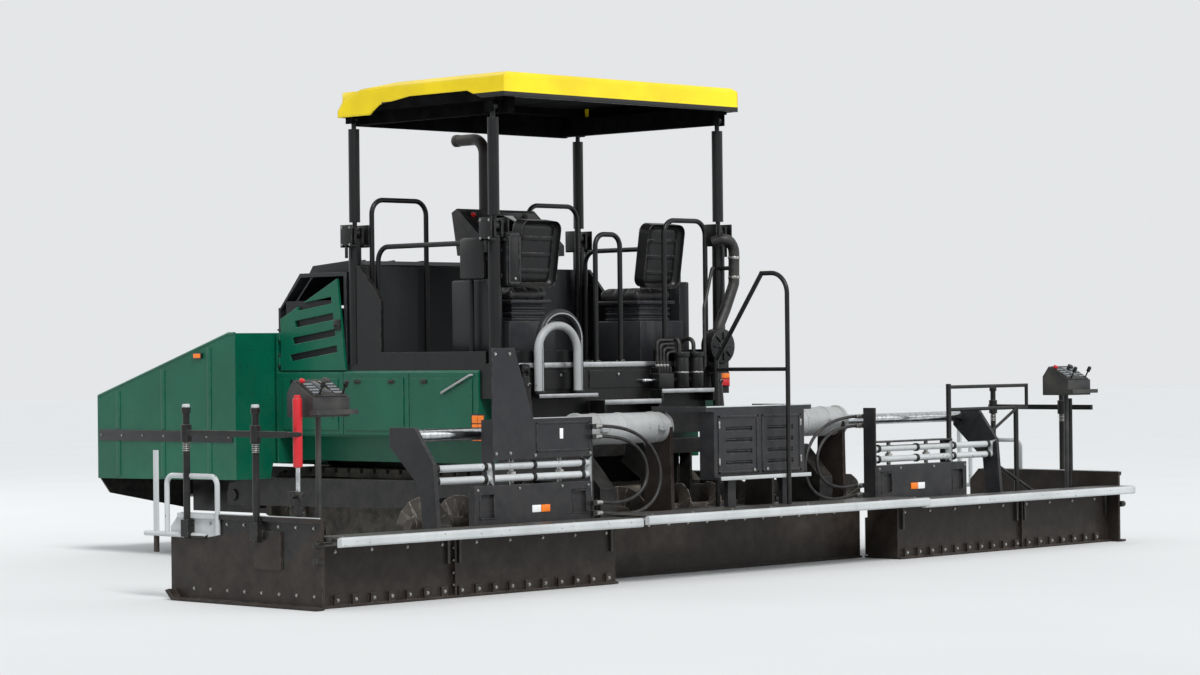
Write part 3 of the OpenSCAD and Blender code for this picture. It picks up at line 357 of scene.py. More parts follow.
def bar(a, b, radius, edge=0.002, sides=24):
    """A round bar between two points."""
    bpy.ops.object.select_all(action="DESELECT")
    a, b = Vector(a), Vector(b)
    turn = (b - a).to_track_quat("Z", "Y").to_euler()
    bpy.ops.mesh.primitive_cylinder_add(vertices=sides, radius=radius, depth=(b - a).length,
        location=(a + b) / 2, rotation=turn)
    return soften(settle(bpy.context.object), edge)


def tube(points, radius, bend=0.05, sides=6):
    """A tube or hose bent through points, each corner to the same radius."""
    bpy.ops.object.select_all(action="DESELECT")
    points = [Vector(p) for p in points]
    path = [points[0]]
    for before, corner, after in zip(points, points[1:], points[2:]):
        into, out = (corner - before).normalized(), (after - corner).normalized()
        half = into.angle(out) / 2
        if half < 0.02:
            path.append(corner)
            continue
        room = 0.49 * min((corner - before).length, (after - corner).length)
        trim = min(bend * math.tan(half), room)
        radius_here = trim / math.tan(half)
        middle = corner + (out - into).normalized() * radius_here / math.cos(half)
        start = corner - into * trim - middle
        axis = into.cross(out).normalized()
        steps = max(3, round(half * 8))
        path += [middle + Quaternion(axis, 2 * half * i / steps) @ start for i in range(steps + 1)]
    path.append(points[-1])
    curve = bpy.data.curves.new("tube", "CURVE")
    curve.dimensions = "3D"
    curve.bevel_depth = radius
    curve.bevel_resolution = sides // 2
    curve.use_fill_caps = True
    line = curve.splines.new("POLY")
    line.points.add(len(path) - 1)
    for knot, point in zip(line.points, path):
        knot.co = (*point, 1)
    made = bpy.data.objects.new("tube", curve)
    scene.collection.objects.link(made)
    bpy.context.view_layer.objects.active = made
    made.select_set(True)
    bpy.ops.object.convert(target="MESH")
    made = bpy.context.object
    bpy.ops.object.shade_smooth_by_angle(angle=math.radians(50))
    return made


def copies(piece, moves):
    """The piece copied once for each matrix, each copy with its own mesh; the pattern goes."""
    made = []
    for move in moves:
        copy = piece.copy()
        copy.data = piece.data.copy()
        copy.data.transform(move)
        if move.determinant() < 0:
            copy.data.flip_normals()
        scene.collection.objects.link(copy)
        made.append(copy)
    bpy.data.objects.remove(piece)
    return made


def of_stuff(mat, *parts):
    """Gives parts their material and returns them as one flat list."""
    flat = []
    for part in parts:
        flat += part if isinstance(part, list) else [part]
    for part in flat:
        part.data.materials.clear()
        part.data.materials.append(mat)
    return flat


def mount(name, body, slot, *parts):
    """Joins finished parts into one named piece that rides on a CAD body."""
    flat = []
    for part in parts:
        flat += part if isinstance(part, list) else [part]
    bpy.ops.object.select_all(action="DESELECT")
    for part in flat:
        part.select_set(True)
    bpy.context.view_layer.objects.active = flat[0]
    if len(flat) > 1:
        bpy.ops.object.join()
    made = bpy.context.object
    made.name = name
    made.data.name = name
    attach(made, body)
    return made


def reflect(piece):
    """Turns a left-hand piece into the right-hand one."""
    piece.data.transform(Matrix.Diagonal((1, -1, 1, 1)))
    piece.data.flip_normals()
    return piece


def both(build, name, body, slot):
    """Builds a piece for the left and its mirror image for the right, on one body or on a pair."""
    for end in ("_left", "_right"):
        rides_on = body + end if body + end in frame["bodies"] else body
        made = mount(name + end, rides_on, slot, *build())
        if end == "_right":
            reflect(made)


zinc = mottled("zinc_plate", "#8F8E88", "#C4C5C2", 60.0, Metallic=1.0, Roughness=0.36)


def screws(places, axis, size=0.012):
    """Hexagon heads on washers at the places, looking along the axis."""
    washer = bar((0, 0, 0), (0, 0, 0.002), size * 1.25, 0, 16)
    head = bar((0, 0, 0.002), (0, 0, 0.002 + size * 0.7), size, 0.0012, 6)
    bpy.ops.object.select_all(action="DESELECT")
    washer.select_set(True)
    head.select_set(True)
    bpy.context.view_layer.objects.active = head
    bpy.ops.object.join()
    turn = Vector(axis).to_track_quat("Z", "Y").to_matrix().to_4x4()
    return of_stuff(zinc, copies(bpy.context.object,
        [Matrix.Translation(spot) @ turn for spot in places]))


sprocket_at, idler_at, axle_z, hub_face = 2.135, 4.265, 0.35, 0.967
roller_stations = [2.495 + i * 0.235 for i in range(7)]


def circle(x, y, z, radius, count, start=0.0):
    """Points spaced evenly round a circle that faces sideways, the first at an angle in degrees."""
    turns = [math.radians(start + 360 / count * k) for k in range(count)]
    return [at(x + radius * math.cos(a), y, z + radius * math.sin(a)) for a in turns]


def track_hubs():
    parts = []
    for x, radius in ((sprocket_at, 0.125), (idler_at, 0.1)):
        parts.append(bar(at(x, hub_face, axle_z), at(x, hub_face + 0.035, axle_z), radius, 0.006, 40))
        parts.append(bar(at(x, hub_face + 0.03, axle_z), at(x, hub_face + 0.07, axle_z), 0.06, 0.008, 32))
    parts += [bar(at(x, hub_face, 0.158), at(x, hub_face + 0.012, 0.158), 0.032, 0.003, 24)
        for x in roller_stations]
    ring = circle(sprocket_at, hub_face + 0.035, axle_z, 0.1, 12)
    ring += circle(idler_at, hub_face + 0.035, axle_z, 0.08, 12)
    ring += [at(x, hub_face + 0.012, 0.158) for x in roller_stations]
    return of_stuff(iron, parts), screws(ring, (0, 1, 0), 0.009)


both(track_hubs, "track_hubs", "base", "running_gear")


# Side tank: pressed doors with a recessed field on the green box, each with two paddle latches.
def pressed(a, b, axis, rim=0.03, depth=0.004, edge=0.002):
    """A plate whose outer face, along the axis, has a recessed field inside a rim."""
    made = plate(a, b, 0)
    axis = Vector(axis)
    for face in made.data.polygons:
        face.select = face.normal.dot(axis) > 0.9
    bpy.ops.object.mode_set(mode="EDIT")
    bpy.ops.mesh.inset(thickness=rim)
    bpy.ops.mesh.extrude_region_move(TRANSFORM_OT_translate={"value": -axis * depth})
    bpy.ops.object.mode_set(mode="OBJECT")
    return soften(made, edge)


tank_face = 1.25
tank_doors = ((1.99, 2.63), (2.73, 3.37), (3.47, 4.11))


def tank_panels():
    panels, latches = [], []
    for x0, x1 in tank_doors:
        panels.append(pressed(at(x0, tank_face - 0.002, 1.0), at(x1, tank_face + 0.008, 1.39),
            (0, 1, 0), 0.025, 0.005))
        for x in (x0 + 0.13, x1 - 0.13):
            latches.append(plate(at(x - 0.035, tank_face, 1.35), at(x + 0.035, tank_face + 0.014, 1.375)))
            latches.append(bar(at(x, tank_face, 1.3625), at(x, tank_face + 0.02, 1.3625), 0.012))
    for i in range(6):
        x = 3.53 + i * 0.085
        panels.append(bar(at(x, tank_face - 0.003, 1.08), at(x, tank_face - 0.003, 1.3), 0.014, 0.004, 16))
    return of_stuff(green, panels), of_stuff(black, latches)


both(tank_panels, "tank_doors", "base", "green_paint")

# Reflectors and lamps: moulded acrylic lenses in black frames, with a fine prism pattern.
# The prisms are about 4 mm across and make the lens sparkle instead of shining flat.


def acrylic(name, colour, painted_glow=0.0):
    """Moulded prism lens, with a faint emission that is a painted glow."""
    mat, surface = new_material(name, Roughness=0.12, IOR=1.49, Base_Color=linear(colour),
        Emission_Color=linear(colour), Emission_Strength=painted_glow)
    place = add_node(mat, "TexCoord").outputs["Object"]
    prisms = add_node(mat, "TexVoronoi", {"Vector": place}, {"Scale": 240.0, "Randomness": 0.0})
    relief = add_node(mat, "Bump", {"Height": prisms},
        {"Strength": 0.5, "Distance": 0.001})
    feed(mat, surface, Normal=relief)
    return mat


# Every lens gets a faint painted glow, the reflectors too, though they are no lamps.
orange_lens = acrylic("orange_acrylic", "#F07A12", 0.15)
white_lens = acrylic("white_acrylic", "#EDEFEF", 0.1)
red_lens = acrylic("red_acrylic", "#C0121A", 0.12)


def side_reflectors():
    board = plate(at(1.86, 1.249, 0.93), at(2.0, 1.258, 1.13), 0.004)
    lenses = of_stuff(orange_lens, [plate(at(x, 1.256, z), at(x + 0.058, 1.263, z + 0.056), 0.003)
        for x in (1.867, 1.93) for z in (0.937, 1.0, 1.063)])
    strip = of_stuff(white_lens, plate(at(2.015, 1.248, 0.96), at(2.04, 1.254, 1.15), 0.002))
    return of_stuff(black, board), lenses, strip


both(side_reflectors, "side_reflectors", "base", "frame_black")


# Bare tube grips: grey-painted steel tube on welded feet, beside the step at the tail.
def side_grips():
    grip = tube([at(2.3, 1.25, 1.28), at(2.3, 1.275, 1.28), at(1.99, 1.275, 1.41), at(1.99, 1.25, 1.41)],
        0.009, 0.02)
    return of_stuff(grey, grip)


both(side_grips, "side_grips", "base", "grey_paint")

# Grille doors: a black punched sheet behind the green louvres keeps stones off the cooler.
# The holes are about 9 mm wide, 12 mm apart; they are not cut but painted near-black, painted shade of the
# space behind, so the slots read as dark mesh.
mesh_sheet, mesh_surface = new_material("punched_sheet", Metallic=0.4, Roughness=0.5)
place = add_node(mesh_sheet, "TexCoord").outputs["Object"]
holes = add_node(mesh_sheet, "TexVoronoi", {"Vector": place}, {"Scale": 80.0, "Randomness": 0.0})
# Near-black dots are the holes' painted shade; between them is the sheet's own dark paint
hole_shade_tint = add_node(mesh_sheet, "ValToRGB", {"Fac": holes})
hole_shade_tint.color_ramp.elements[0].position = 0.33
hole_shade_tint.color_ramp.elements[0].color = linear("#020202")
hole_shade_tint.color_ramp.elements[1].position = 0.42
hole_shade_tint.color_ramp.elements[1].color = linear("#26272A")
feed(mesh_sheet, mesh_surface, Base_Color=hole_shade_tint)


def grille_fittings():
    sheet = plate(at(3.5, 1.2235, 1.53), at(4.1, 1.2265, 1.98), 0)
    parts = of_stuff(mesh_sheet, sheet)
    rims = [plate(at(3.43, 1.25, 1.75), at(3.5, 1.262, 1.83), 0.004),
        bar(at(3.445, 1.262, 1.79), at(3.485, 1.274, 1.79), 0.01)]
    return parts, of_stuff(black, rims)


both(grille_fittings, "grille_mesh", "grille_door", "green_paint")


# Hood: pressed stiffening ribs along the lid and a lift handle at its rear edge.
def rod_on_lid(y):
    return bar(at(3.55, y, 2.277), at(3.93, y, 2.25), 0.014, 0.004, 16)


mount("hood_ribs", "hood", "charcoal_paint",
    of_stuff(charcoal, [rod_on_lid(y) for y in (-0.9, -0.6, -0.3, 0.3, 0.6, 0.9)]),
    of_stuff(black, tube([at(3.482, -0.11, 2.215), at(3.455, -0.11, 2.215),
        at(3.455, 0.11, 2.215), at(3.482, 0.11, 2.215)], 0.008, 0.02)))

# Exhaust: a bent steel pipe, blued by heat, with a clamp, a flared mouth and a near-black disc in the mouth,
# partly soot and partly painted shade of the pipe's inside.
heated = enamel("heated_steel", "#2B2725", dust=0.3, rough=0.45, wear="#6B5A4A", worn=0.8)
paint(heated, "exhaust")
# The disc's near-black is soot and painted shade of the hollow pipe
soot_and_shade = new_material("soot_and_shade", Roughness=0.95, Base_Color=linear("#0A0A0A"))[0]
mount("exhaust_fittings", "base", "frame_black",
    of_stuff(heated, bar(at(3.4, -0.22, 2.34), at(3.4, -0.22, 2.38), 0.05, 0.004, 40),
        bar(at(3.69, -0.22, 3.25), at(3.731, -0.22, 3.25), 0.049, 0.003, 40)),
    of_stuff(zinc, bar(at(3.4, -0.285, 2.36), at(3.4, -0.255, 2.36), 0.008, 0.001, 12)),
    of_stuff(soot_and_shade, bar(at(3.73, -0.22, 3.25), at(3.7325, -0.22, 3.25), 0.04, 0, 40)))

# Platform: chequered aluminium treads on the deck and steps, and doors in the tail.
# The raised lozenges are 28 mm apart, so that boots grip; their tops are worn bright.


def chequered(name, colour, worn_colour, dust=0.35):
    """Rolled tread plate with raised lozenges on faces that look up."""
    mat, surface = new_material(name, Metallic=0.55, Roughness=0.45)
    place = add_node(mat, "TexCoord").outputs["Object"]
    heights = []
    for turn in (45.0, -45.0):
        turned = add_node(mat, "Mapping", {"Vector": place},
            {"Rotation": (0, 0, math.radians(turn)), "Scale": (34.0, 12.0, 0.0)})
        bumps = add_node(mat, "TexVoronoi", {"Vector": turned},
            {"Scale": 1.0, "Randomness": 0.0})
        heights.append(add_node(mat, "MapRange", {"Value": bumps},
            {"From Min": 0.34, "From Max": 0.2, "To Min": 0.0, "To Max": 1.0}).outputs["Result"])
    lozenge = add_node(mat, "Math", {0: heights[0], 1: heights[1]}, operation="MAXIMUM")
    up = add_node(mat, "SeparateXYZ", {"Vector": add_node(mat, "NewGeometry").outputs["Normal"]})
    on_top = add_node(mat, "Math", {0: up.outputs["Z"]}, {1: 0.8}, operation="GREATER_THAN")
    raised = add_node(mat, "Math", {0: lozenge, 1: on_top},
        operation="MULTIPLY")
    soil = add_node(mat, "TexNoise", {"Vector": place}, {"Scale": 7.0, "Detail": 6.0, "Roughness": 0.7})
    soil_at = add_node(mat, "MapRange", {"Value": soil},
        {"From Min": 0.4, "From Max": 0.66, "To Min": 0.0, "To Max": dust})
    metal = add_node(mat, "MixRGB", {"Fac": raised},
        {"Color1": linear(colour), "Color2": linear(worn_colour)})
    final = add_node(mat, "MixRGB", {"Fac": soil_at,
        "Color1": metal}, {"Color2": linear("#6E685D")})
    relief = add_node(mat, "Bump", {"Height": raised},
        {"Strength": 0.7, "Distance": 0.002})
    feed(mat, surface, Base_Color=final, Normal=relief)
    return mat


deck_tread = chequered("chequered_aluminium", "#4B4C4D", "#A7A8A6")
deck = 1.49
mount("deck_treads", "base", "walkway_steel", of_stuff(deck_tread,
    plate(at(1.8, -0.41, deck), at(3.28, 0.41, deck + 0.004), 0.001),
    plate(at(2.47, 0.46, deck), at(3.1, 1.0, deck + 0.004), 0.001),
    plate(at(2.47, -1.0, deck), at(3.1, -0.46, deck + 0.004), 0.001),
    plate(at(1.595, -0.295, 1.21), at(1.748, 0.295, 1.214), 0.001),
    plate(at(1.625, -0.925, 1.28), at(1.748, -0.345, 1.284), 0.001)))
tail_doors = [pressed(at(1.742, y0, 1.3), at(1.752, y1, 1.43), (-1, 0, 0), 0.018, 0.004)
    for y0, y1 in ((-0.93, -0.35), (-0.3, 0.3), (0.35, 0.93))]
mount("tail_doors", "base", "frame_black", of_stuff(black, tail_doors),
    of_stuff(zinc, [bar(at(1.742, y, 1.4), at(1.734, y, 1.4), 0.011) for y in (-0.6, 0, 0.6)]))


def tail_lamps():
    housing, upper, lower = (plate(at(1.72, 1.1, 1.29), at(1.75, 1.21, 1.40), 0.006),
        plate(at(1.714, 1.108, 1.355), at(1.722, 1.202, 1.393), 0.003),
        plate(at(1.714, 1.108, 1.298), at(1.722, 1.202, 1.35), 0.003))
    return of_stuff(black, housing), of_stuff(orange_lens, upper), of_stuff(red_lens, lower)


both(tail_lamps, "tail_lamps", "base", "frame_black")

# Rail feet: round flanges welded to the hoops, each held by three screws.
rail_feet = [(3.25, 1.09), (3.25, 0.54), (3.17, 1.1), (2.15, 1.1)]
rail_feet += [(x, -y) for x, y in rail_feet] + [(1.81, -1.04), (1.81, -0.58), (1.81, -0.1), (1.81, 0.16)]
mount("rail_feet", "base", "frame_black",
    of_stuff(black, [bar(at(x, y, deck + 0.001), at(x, y, deck + 0.009), 0.042, 0.002, 24)
        for x, y in rail_feet]),
    screws([at(x + 0.031 * math.cos(a), y + 0.031 * math.sin(a), deck + 0.009)
        for x, y in rail_feet for a in (0.5, 2.6, 4.7)], (0, 0, 1), 0.006))


# Canopy knuckles: forged hinge eyes with a shouldered pin, and a lock lever with a black grip.
# Bolted cheeks stiffen the lower eyes; the enamel is chipped where the pins are driven.
def knuckle(x):
    y, z = 1.19, 2.48
    heads = [bar(at(x, y + s * 0.046, z), at(x, y + s * 0.062, z), 0.03, 0.003, 24) for s in (1, -1)]
    lever = tube([at(x, y + 0.06, z), at(x, y + 0.085, z), at(x, y + 0.085, z - 0.12)], 0.007, 0.015)
    grip = bar(at(x, y + 0.085, z - 0.19), at(x, y + 0.085, z - 0.11), 0.012, 0.004)
    return of_stuff(black, heads, lever, grip)


def cheeks(x):
    """Two bolted plates outside the hinge, which leave the upper post free to swing."""
    sides = [plate(at(x - 0.065, y, 2.37), at(x + 0.065, y + 0.012, 2.54), 0.004) for y in (1.1, 1.268)]
    ears = [plate(at(x - 0.06, y, 2.37), at(x + 0.06, y + 0.05, 2.39), 0.004) for y in (1.1, 1.23)]
    return of_stuff(black, sides, ears) + screws([at(x + a, 1.28, z) for a in (-0.045, 0.045)
        for z in (2.39, 2.52)], (0, 1, 0), 0.008)


for x, body in ((1.81, "rear_posts"), (3.33, "front_posts")):
    for side, end in ((1, "_left"), (-1, "_right")):
        made = [mount(body + "_pins" + end, body, "frame_black", knuckle(x)),
            mount(body + "_cheeks" + end, "base", "frame_black", cheeks(x))]
        if side < 0:
            for piece in made:
                reflect(piece)

# Fume fan: a black rubber-coated pipe beside the right rear post leads down into the round
# housing of a fan on the rear shelf; band clamps hold the pipe.
fan_y, fan_z, fan_r = -1.03, 1.6, 0.135
fan = [bar(at(1.62, fan_y, fan_z), at(1.735, fan_y, fan_z), fan_r, 0.012, 48),
    bar(at(1.605, fan_y, fan_z), at(1.63, fan_y, fan_z), 0.05, 0.008, 32)]
fan += [bar(at(1.612, fan_y, fan_z), at(1.612, fan_y + 0.11 * math.cos(a), fan_z + 0.11 * math.sin(a)), 0.006)
    for a in [math.radians(45 * k) for k in range(8)]]
fan.append(plate(at(1.64, fan_y - 0.06, 1.4), at(1.73, fan_y + 0.06, 1.5), 0.006))
mount("fume_fan", "base", "hose_rubber",
    of_stuff(black, fan, bar(at(1.79, -1.16, 2.2), at(1.68, -1.2, 2.2), 0.016)),
    of_stuff(hose_rubber, tube([at(1.76, -1.07, 2.4), at(1.665, -1.13, 2.43), at(1.66, -1.205, 2.36),
        at(1.66, -1.2, 2.08), at(1.67, -1.11, 1.88), at(1.675, fan_y, 1.74), at(1.675, fan_y, 1.68)],
        0.043, 0.1, 10)),
    of_stuff(zinc, [bar(at(1.66, -1.2035, z), at(1.66, -1.203, z + 0.02), 0.046, 0.002, 32)
        for z in (2.12, 2.27)]))

# Post covers: moulded black boxes clamped to the left rear post, with a lid seam and a latch.
def frame_strips(x, y0, y1, z0, z1, width, thick):
    """A raised rim round a door on a face that looks rearwards."""
    return [plate(at(x - thick, a, c), at(x + 0.001, b, d), 0.002) for a, b, c, d in (
        (y0, y1, z1 - width, z1), (y0, y1, z0, z0 + width),
        (y0, y0 + width, z0, z1), (y1 - width, y1, z0, z1))]


mount("post_cover", "base", "frame_black",
    of_stuff(black, plate(at(1.735, 0.985, 2.04), at(1.975, 1.135, 2.44), 0.03),
        plate(at(1.87, 1.14, 2.1), at(2.13, 1.243, 2.4), 0.025),
        [bar(at(1.81, 1.12, z), at(1.81, 1.19, z), 0.02) for z in (2.12, 2.3)],
        bar(at(1.81, 1.19, 2.25), at(1.9, 1.19, 2.25), 0.02)),
    of_stuff(charcoal, frame_strips(1.735, 1.0, 1.12, 2.06, 2.42, 0.014, 0.004)),
    of_stuff(zinc, bar(at(1.735, 1.06, 2.1), at(1.725, 1.06, 2.1), 0.01)))

# Roof: a moulded shell of glass-fibre plastic with a yellow gelcoat; its underside is painted near-black,
# painted shade.
# The gelcoat is glossy with soft corners, chalky streaks on top and dust in the middle.
gelcoat = enamel("yellow_gelcoat", "#FFE000", dust=0.03, rough=0.26, wear="#F2E9C0", worn=0.1,
    specks=0.03, corner=0.028)
# The shell's lower rim behind the front lip is painted near-black: painted shade where it lies dark under the
# roof's edge
surface = next(n for n in gelcoat.node_tree.nodes if n.type == "BSDF_PRINCIPLED")
yellow = surface.inputs["Base Color"].links[0].from_socket
spot = add_node(gelcoat, "SeparateXYZ", {"Vector": add_node(gelcoat, "TexCoord").outputs["Object"]})
low_down = add_node(gelcoat, "Math", {0: spot.outputs["Z"]}, {1: 3.436}, operation="LESS_THAN")
behind_lip = add_node(gelcoat, "Math", {0: spot}, {1: 2.95 + rear_edge},
    operation="LESS_THAN")
rim = add_node(gelcoat, "Math", {0: low_down, 1: behind_lip},
    operation="MULTIPLY")
yellow_with_rim_shade = add_node(gelcoat, "MixRGB", {"Fac": rim, "Color1": yellow},
    {"Color2": linear("#121213")})
feed(gelcoat, surface, Base_Color=yellow_with_rim_shade)
paint(gelcoat, "roof")
# The lining's near-black is painted shade: a sheet with a fine felt-like grain that gives back almost no
# light
shade_lining = mottled("painted_shade_lining", "#070708", "#121213", 11.0, grain=260.0, Roughness=1.0,
    Specular_IOR_Level=0.05)
# Faces inside the shell and the outer faces of its side beams take the lining's painted shade
repaint(shade_lining, "roof", (1.6535, 0, 3.29), (3.437, 1.2365, 3.5305), 0.1)
repaint(shade_lining, "roof", (1.6, 1.2395, 3.29), (3.5, 1.2405, 3.5305), 0.1)
repaint(gelcoat, "roof", (3.2, 1.1, 3.465), (3.4, 1.2405, 3.54))
bays = [pressed(at(x, y, 3.5), at(x + 0.73, y + 0.68, 3.528), (0, 0, -1), 0.05, 0.014, 0.008)
    for x in (1.7, 2.45) for y in (-1.04, -0.34, 0.36)]
headers = [plate(at(1.72, y, 3.295), at(3.38, y + 0.075, 3.44), 0.012) for y in (-1.125, 1.05)]
headers += [plate(at(3.376, -1.135, 3.29), at(3.43, 1.135, 3.4), 0.012),
    plate(at(3.376, -1.22, 3.38), at(3.4, 1.22, 3.455), 0.004)]
mount("roof_shade_lining", "roof", "frame_black", of_stuff(shade_lining, bays, headers))
# The front lip is closed flush with the slope, and a boss covers each front hinge
mount("roof_lip", "roof", "roof_yellow", of_stuff(gelcoat,
    plate(at(3.3925, -1.236, 3.4267), at(3.4445, 1.236, 3.4347), 0.002, (0, math.radians(49.4), 0)),
    [plate(at(3.15, y - 0.058, 3.44), at(3.4, y + 0.0545, 3.538), 0.01) for y in (-1.19, 1.19)]))

# Seats: moulded foam cushions in black vinyl on a sprung base, one each side of the aisle.
# The vinyl has a fine grain, stitched seams and a soft shine where it is rubbed.
vinyl = mottled("black_vinyl", "#141416", "#2C2B2C", 6.0, grain=330.0, Roughness=0.46,
    Sheen_Weight=0.1)


def cushion(a, b, turn, pressure, cap, rolls=0):
    """A foam cushion blown up by cloth pressure."""
    a, b = Vector(a), Vector(b)
    made = plate(a, b, 0.03)
    bpy.ops.object.select_all(action="DESELECT")
    made.select_set(True)
    bpy.context.view_layer.objects.active = made
    remesh = made.modifiers.new("mesh", "REMESH")
    remesh.mode = "VOXEL"
    remesh.voxel_size = 0.009
    bpy.ops.object.modifier_apply(modifier=remesh.name)
    before = [v.co.copy() for v in made.data.vertices]
    cloth = made.modifiers.new("foam", "CLOTH")
    cloth.settings.use_pressure = True
    cloth.settings.uniform_pressure_force = pressure
    cloth.settings.quality = 5
    cloth.settings.effector_weights.gravity = 0
    for step in range(1, 16):
        scene.frame_set(step)
    bpy.ops.object.modifier_apply(modifier=cloth.name)
    scene.frame_set(1)
    for vertex, home in zip(made.data.vertices, before):
        moved = vertex.co - home
        if moved.length > cap:
            vertex.co = home + moved.normalized() * cap
    # Sewn channels run across the cushion
    for vertex, home in zip(made.data.vertices, before):
        for k in range(1, rolls + 1):
            seam = a.x + (b.x - a.x) * k / (rolls + 1)
            near = abs(home.x - seam)
            if near < 0.02 and home.z > (a.z + b.z) / 2:
                vertex.co.z -= 0.012 * (1 - near / 0.02)
    made.data.transform(turn)
    smooth = made.modifiers.new("smooth", "SUBSURF")
    smooth.levels = smooth.render_levels = 1
    bpy.ops.object.modifier_apply(modifier=smooth.name)
    bpy.ops.object.shade_smooth()
    return of_stuff(vinyl, made)


hip = at(2.02, 0.665, 2.06)
recline = Matrix.Translation(hip) @ Matrix.Rotation(math.radians(-99), 4, "Y")
pad = cushion(at(1.99, 0.47, 1.955), at(2.41, 0.86, 2.035), Matrix.Identity(4), 3.0, 0.016, 2)
rest = cushion((0.03, -0.19, -0.04), (0.47, 0.19, 0.035), recline, 3.0, 0.016, 3)


def seat_frame():
    """Pedestal, suspension bellows, pan, back shell, arm rest and side box of one seat."""
    hard = [plate(at(1.94, 0.45, deck), at(2.4, 0.92, 1.8), 0.012),
        plate(at(1.97, 0.46, 1.925), at(2.42, 0.87, 1.955), 0.01),
        plate(at(1.99, 0.94, deck), at(2.42, 1.05, 2.1), 0.012)]
    hard += [plate(at(2.0 + 0.01 * (k % 2), 0.5 + 0.01 * (k % 2), 1.8 + 0.021 * k),
        at(2.36 - 0.01 * (k % 2), 0.84 - 0.01 * (k % 2), 1.821 + 0.021 * k), 0.006) for k in range(6)]
    shell = plate((0.0, -0.2, 0.035), (0.49, 0.2, 0.06), 0)
    for edge in shell.data.edges:
        ends = [shell.data.vertices[v].co for v in edge.vertices]
        edge.select = abs(ends[0].z - ends[1].z) > 0.01
    bpy.ops.object.mode_set(mode="EDIT")
    bpy.ops.mesh.select_mode(type="EDGE")
    bpy.ops.mesh.bevel(offset=0.07, segments=6, affect="EDGES")
    bpy.ops.mesh.select_mode(type="VERT")
    bpy.ops.object.mode_set(mode="OBJECT")
    soften(shell, 0.009, 3)
    ribs = [plate((x, -0.15, 0.056), (x + 0.03, 0.15, 0.068), 0.005) for x in (0.1, 0.22, 0.34)]
    for piece in (shell, *ribs):
        piece.data.transform(recline)
    arm = plate(at(2.02, 0.885, 2.12), at(2.36, 0.935, 2.15), 0.012)
    post = bar(at(2.06, 0.91, 1.94), at(2.06, 0.91, 2.13), 0.012)
    doors = [pressed(at(2.39, 0.47, deck + 0.03), at(2.406, 0.9, 1.77), (1, 0, 0), 0.02, 0.004)]
    return of_stuff(charcoal, hard, doors) + of_stuff(black, shell, ribs, post) + of_stuff(vinyl, arm)


for side, end in ((1, "_left"), (-1, "_right")):
    base_frame = mount("seat_frame" + end, "base", "frame_black", seat_frame())
    pieces = [("seat_cushion", pad), ("seat_back", rest)]
    made = [base_frame]
    for name, source in pieces:
        copy = source[0].copy()
        copy.data = source[0].data.copy()
        scene.collection.objects.link(copy)
        made.append(mount(name + end, "base", "seat_vinyl", copy))
    for piece in made:
        if side < 0:
            reflect(piece)
    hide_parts("seat" + end)
for source in (pad, rest):
    bpy.data.objects.remove(source[0])

# Console: moulded ABS housing with a screen, rubber keys, a speed dial and two short levers.
abs_plastic = mottled("moulded_abs", "#1F2022", "#4A4843", 5.0, 0.4, 0.8, grain=500.0,
    Roughness=0.5)
paint(abs_plastic, "console", "side_control_left", "side_control_right")
screen_glass = mottled("screen_glass", "#04060A", "#10151C", 14.0, Roughness=0.08, Coat_Weight=0.6)
key_rubber = mottled("key_rubber", "#6F7477", "#8C9194", 40.0, grain=600.0, Roughness=0.6)


def control_face(width, deep, keys):
    """Screen, rows of keys, a dial and levers on a flat face that looks along +Z."""
    half = width / 2
    parts = of_stuff(black, plate((-deep / 2, -half, 0), (deep / 2, half, 0.008), 0.004))
    parts += of_stuff(screen_glass, plate((-deep * 0.3, -half * 0.3, 0.007),
        (deep * 0.38, half * 0.3, 0.011), 0.002))
    pads = [plate((x, y - 0.011, 0.007), (x + 0.018, y + 0.011, 0.013), 0.003)
        for row in range(keys) for s in (1, -1) for col in range(3)
        for x, y in [(-deep * 0.36 + row * 0.034, s * half * (0.45 + 0.18 * col))]]
    parts += of_stuff(key_rubber, pads)
    parts += of_stuff(red_lens, bar((deep * 0.36, half * 0.82, 0.007),
        (deep * 0.36, half * 0.82, 0.026), 0.018, 0.004, 20))
    dial = bar((deep * 0.34, -half * 0.6, 0.007), (deep * 0.34, -half * 0.6, 0.03), 0.024, 0.004, 20)
    parts += of_stuff(abs_plastic, dial)
    for y in (-half * 0.8, half * 0.6):
        parts += of_stuff(black, bar((-deep * 0.42, y, 0.006), (-deep * 0.42, y, 0.07), 0.006),
            bar((-deep * 0.42, y, 0.06), (-deep * 0.42, y, 0.105), 0.015, 0.006, 20))
    return parts


console_face = control_face(0.76, 0.36, 6)
console_place = Matrix.Translation(at(2.843, 0.03, 2.528)) @ Matrix.Rotation(math.radians(-40.3), 4, "Y")
for part in console_face:
    part.data.transform(console_place)
mount("console_panel", "base", "console_plastic", console_face)
for side, end in ((1, "_left"), (-1, "_right")):
    face = control_face(0.27, 0.2, 4)
    spot = Matrix.Translation(at(0.505, side * 3.93, 1.357)) @ Matrix.Rotation(math.radians(-30.5), 4, "Y")
    for part in face:
        part.data.transform(spot)
    mount("side_panel" + end, "extension" + end, "console_plastic", face)


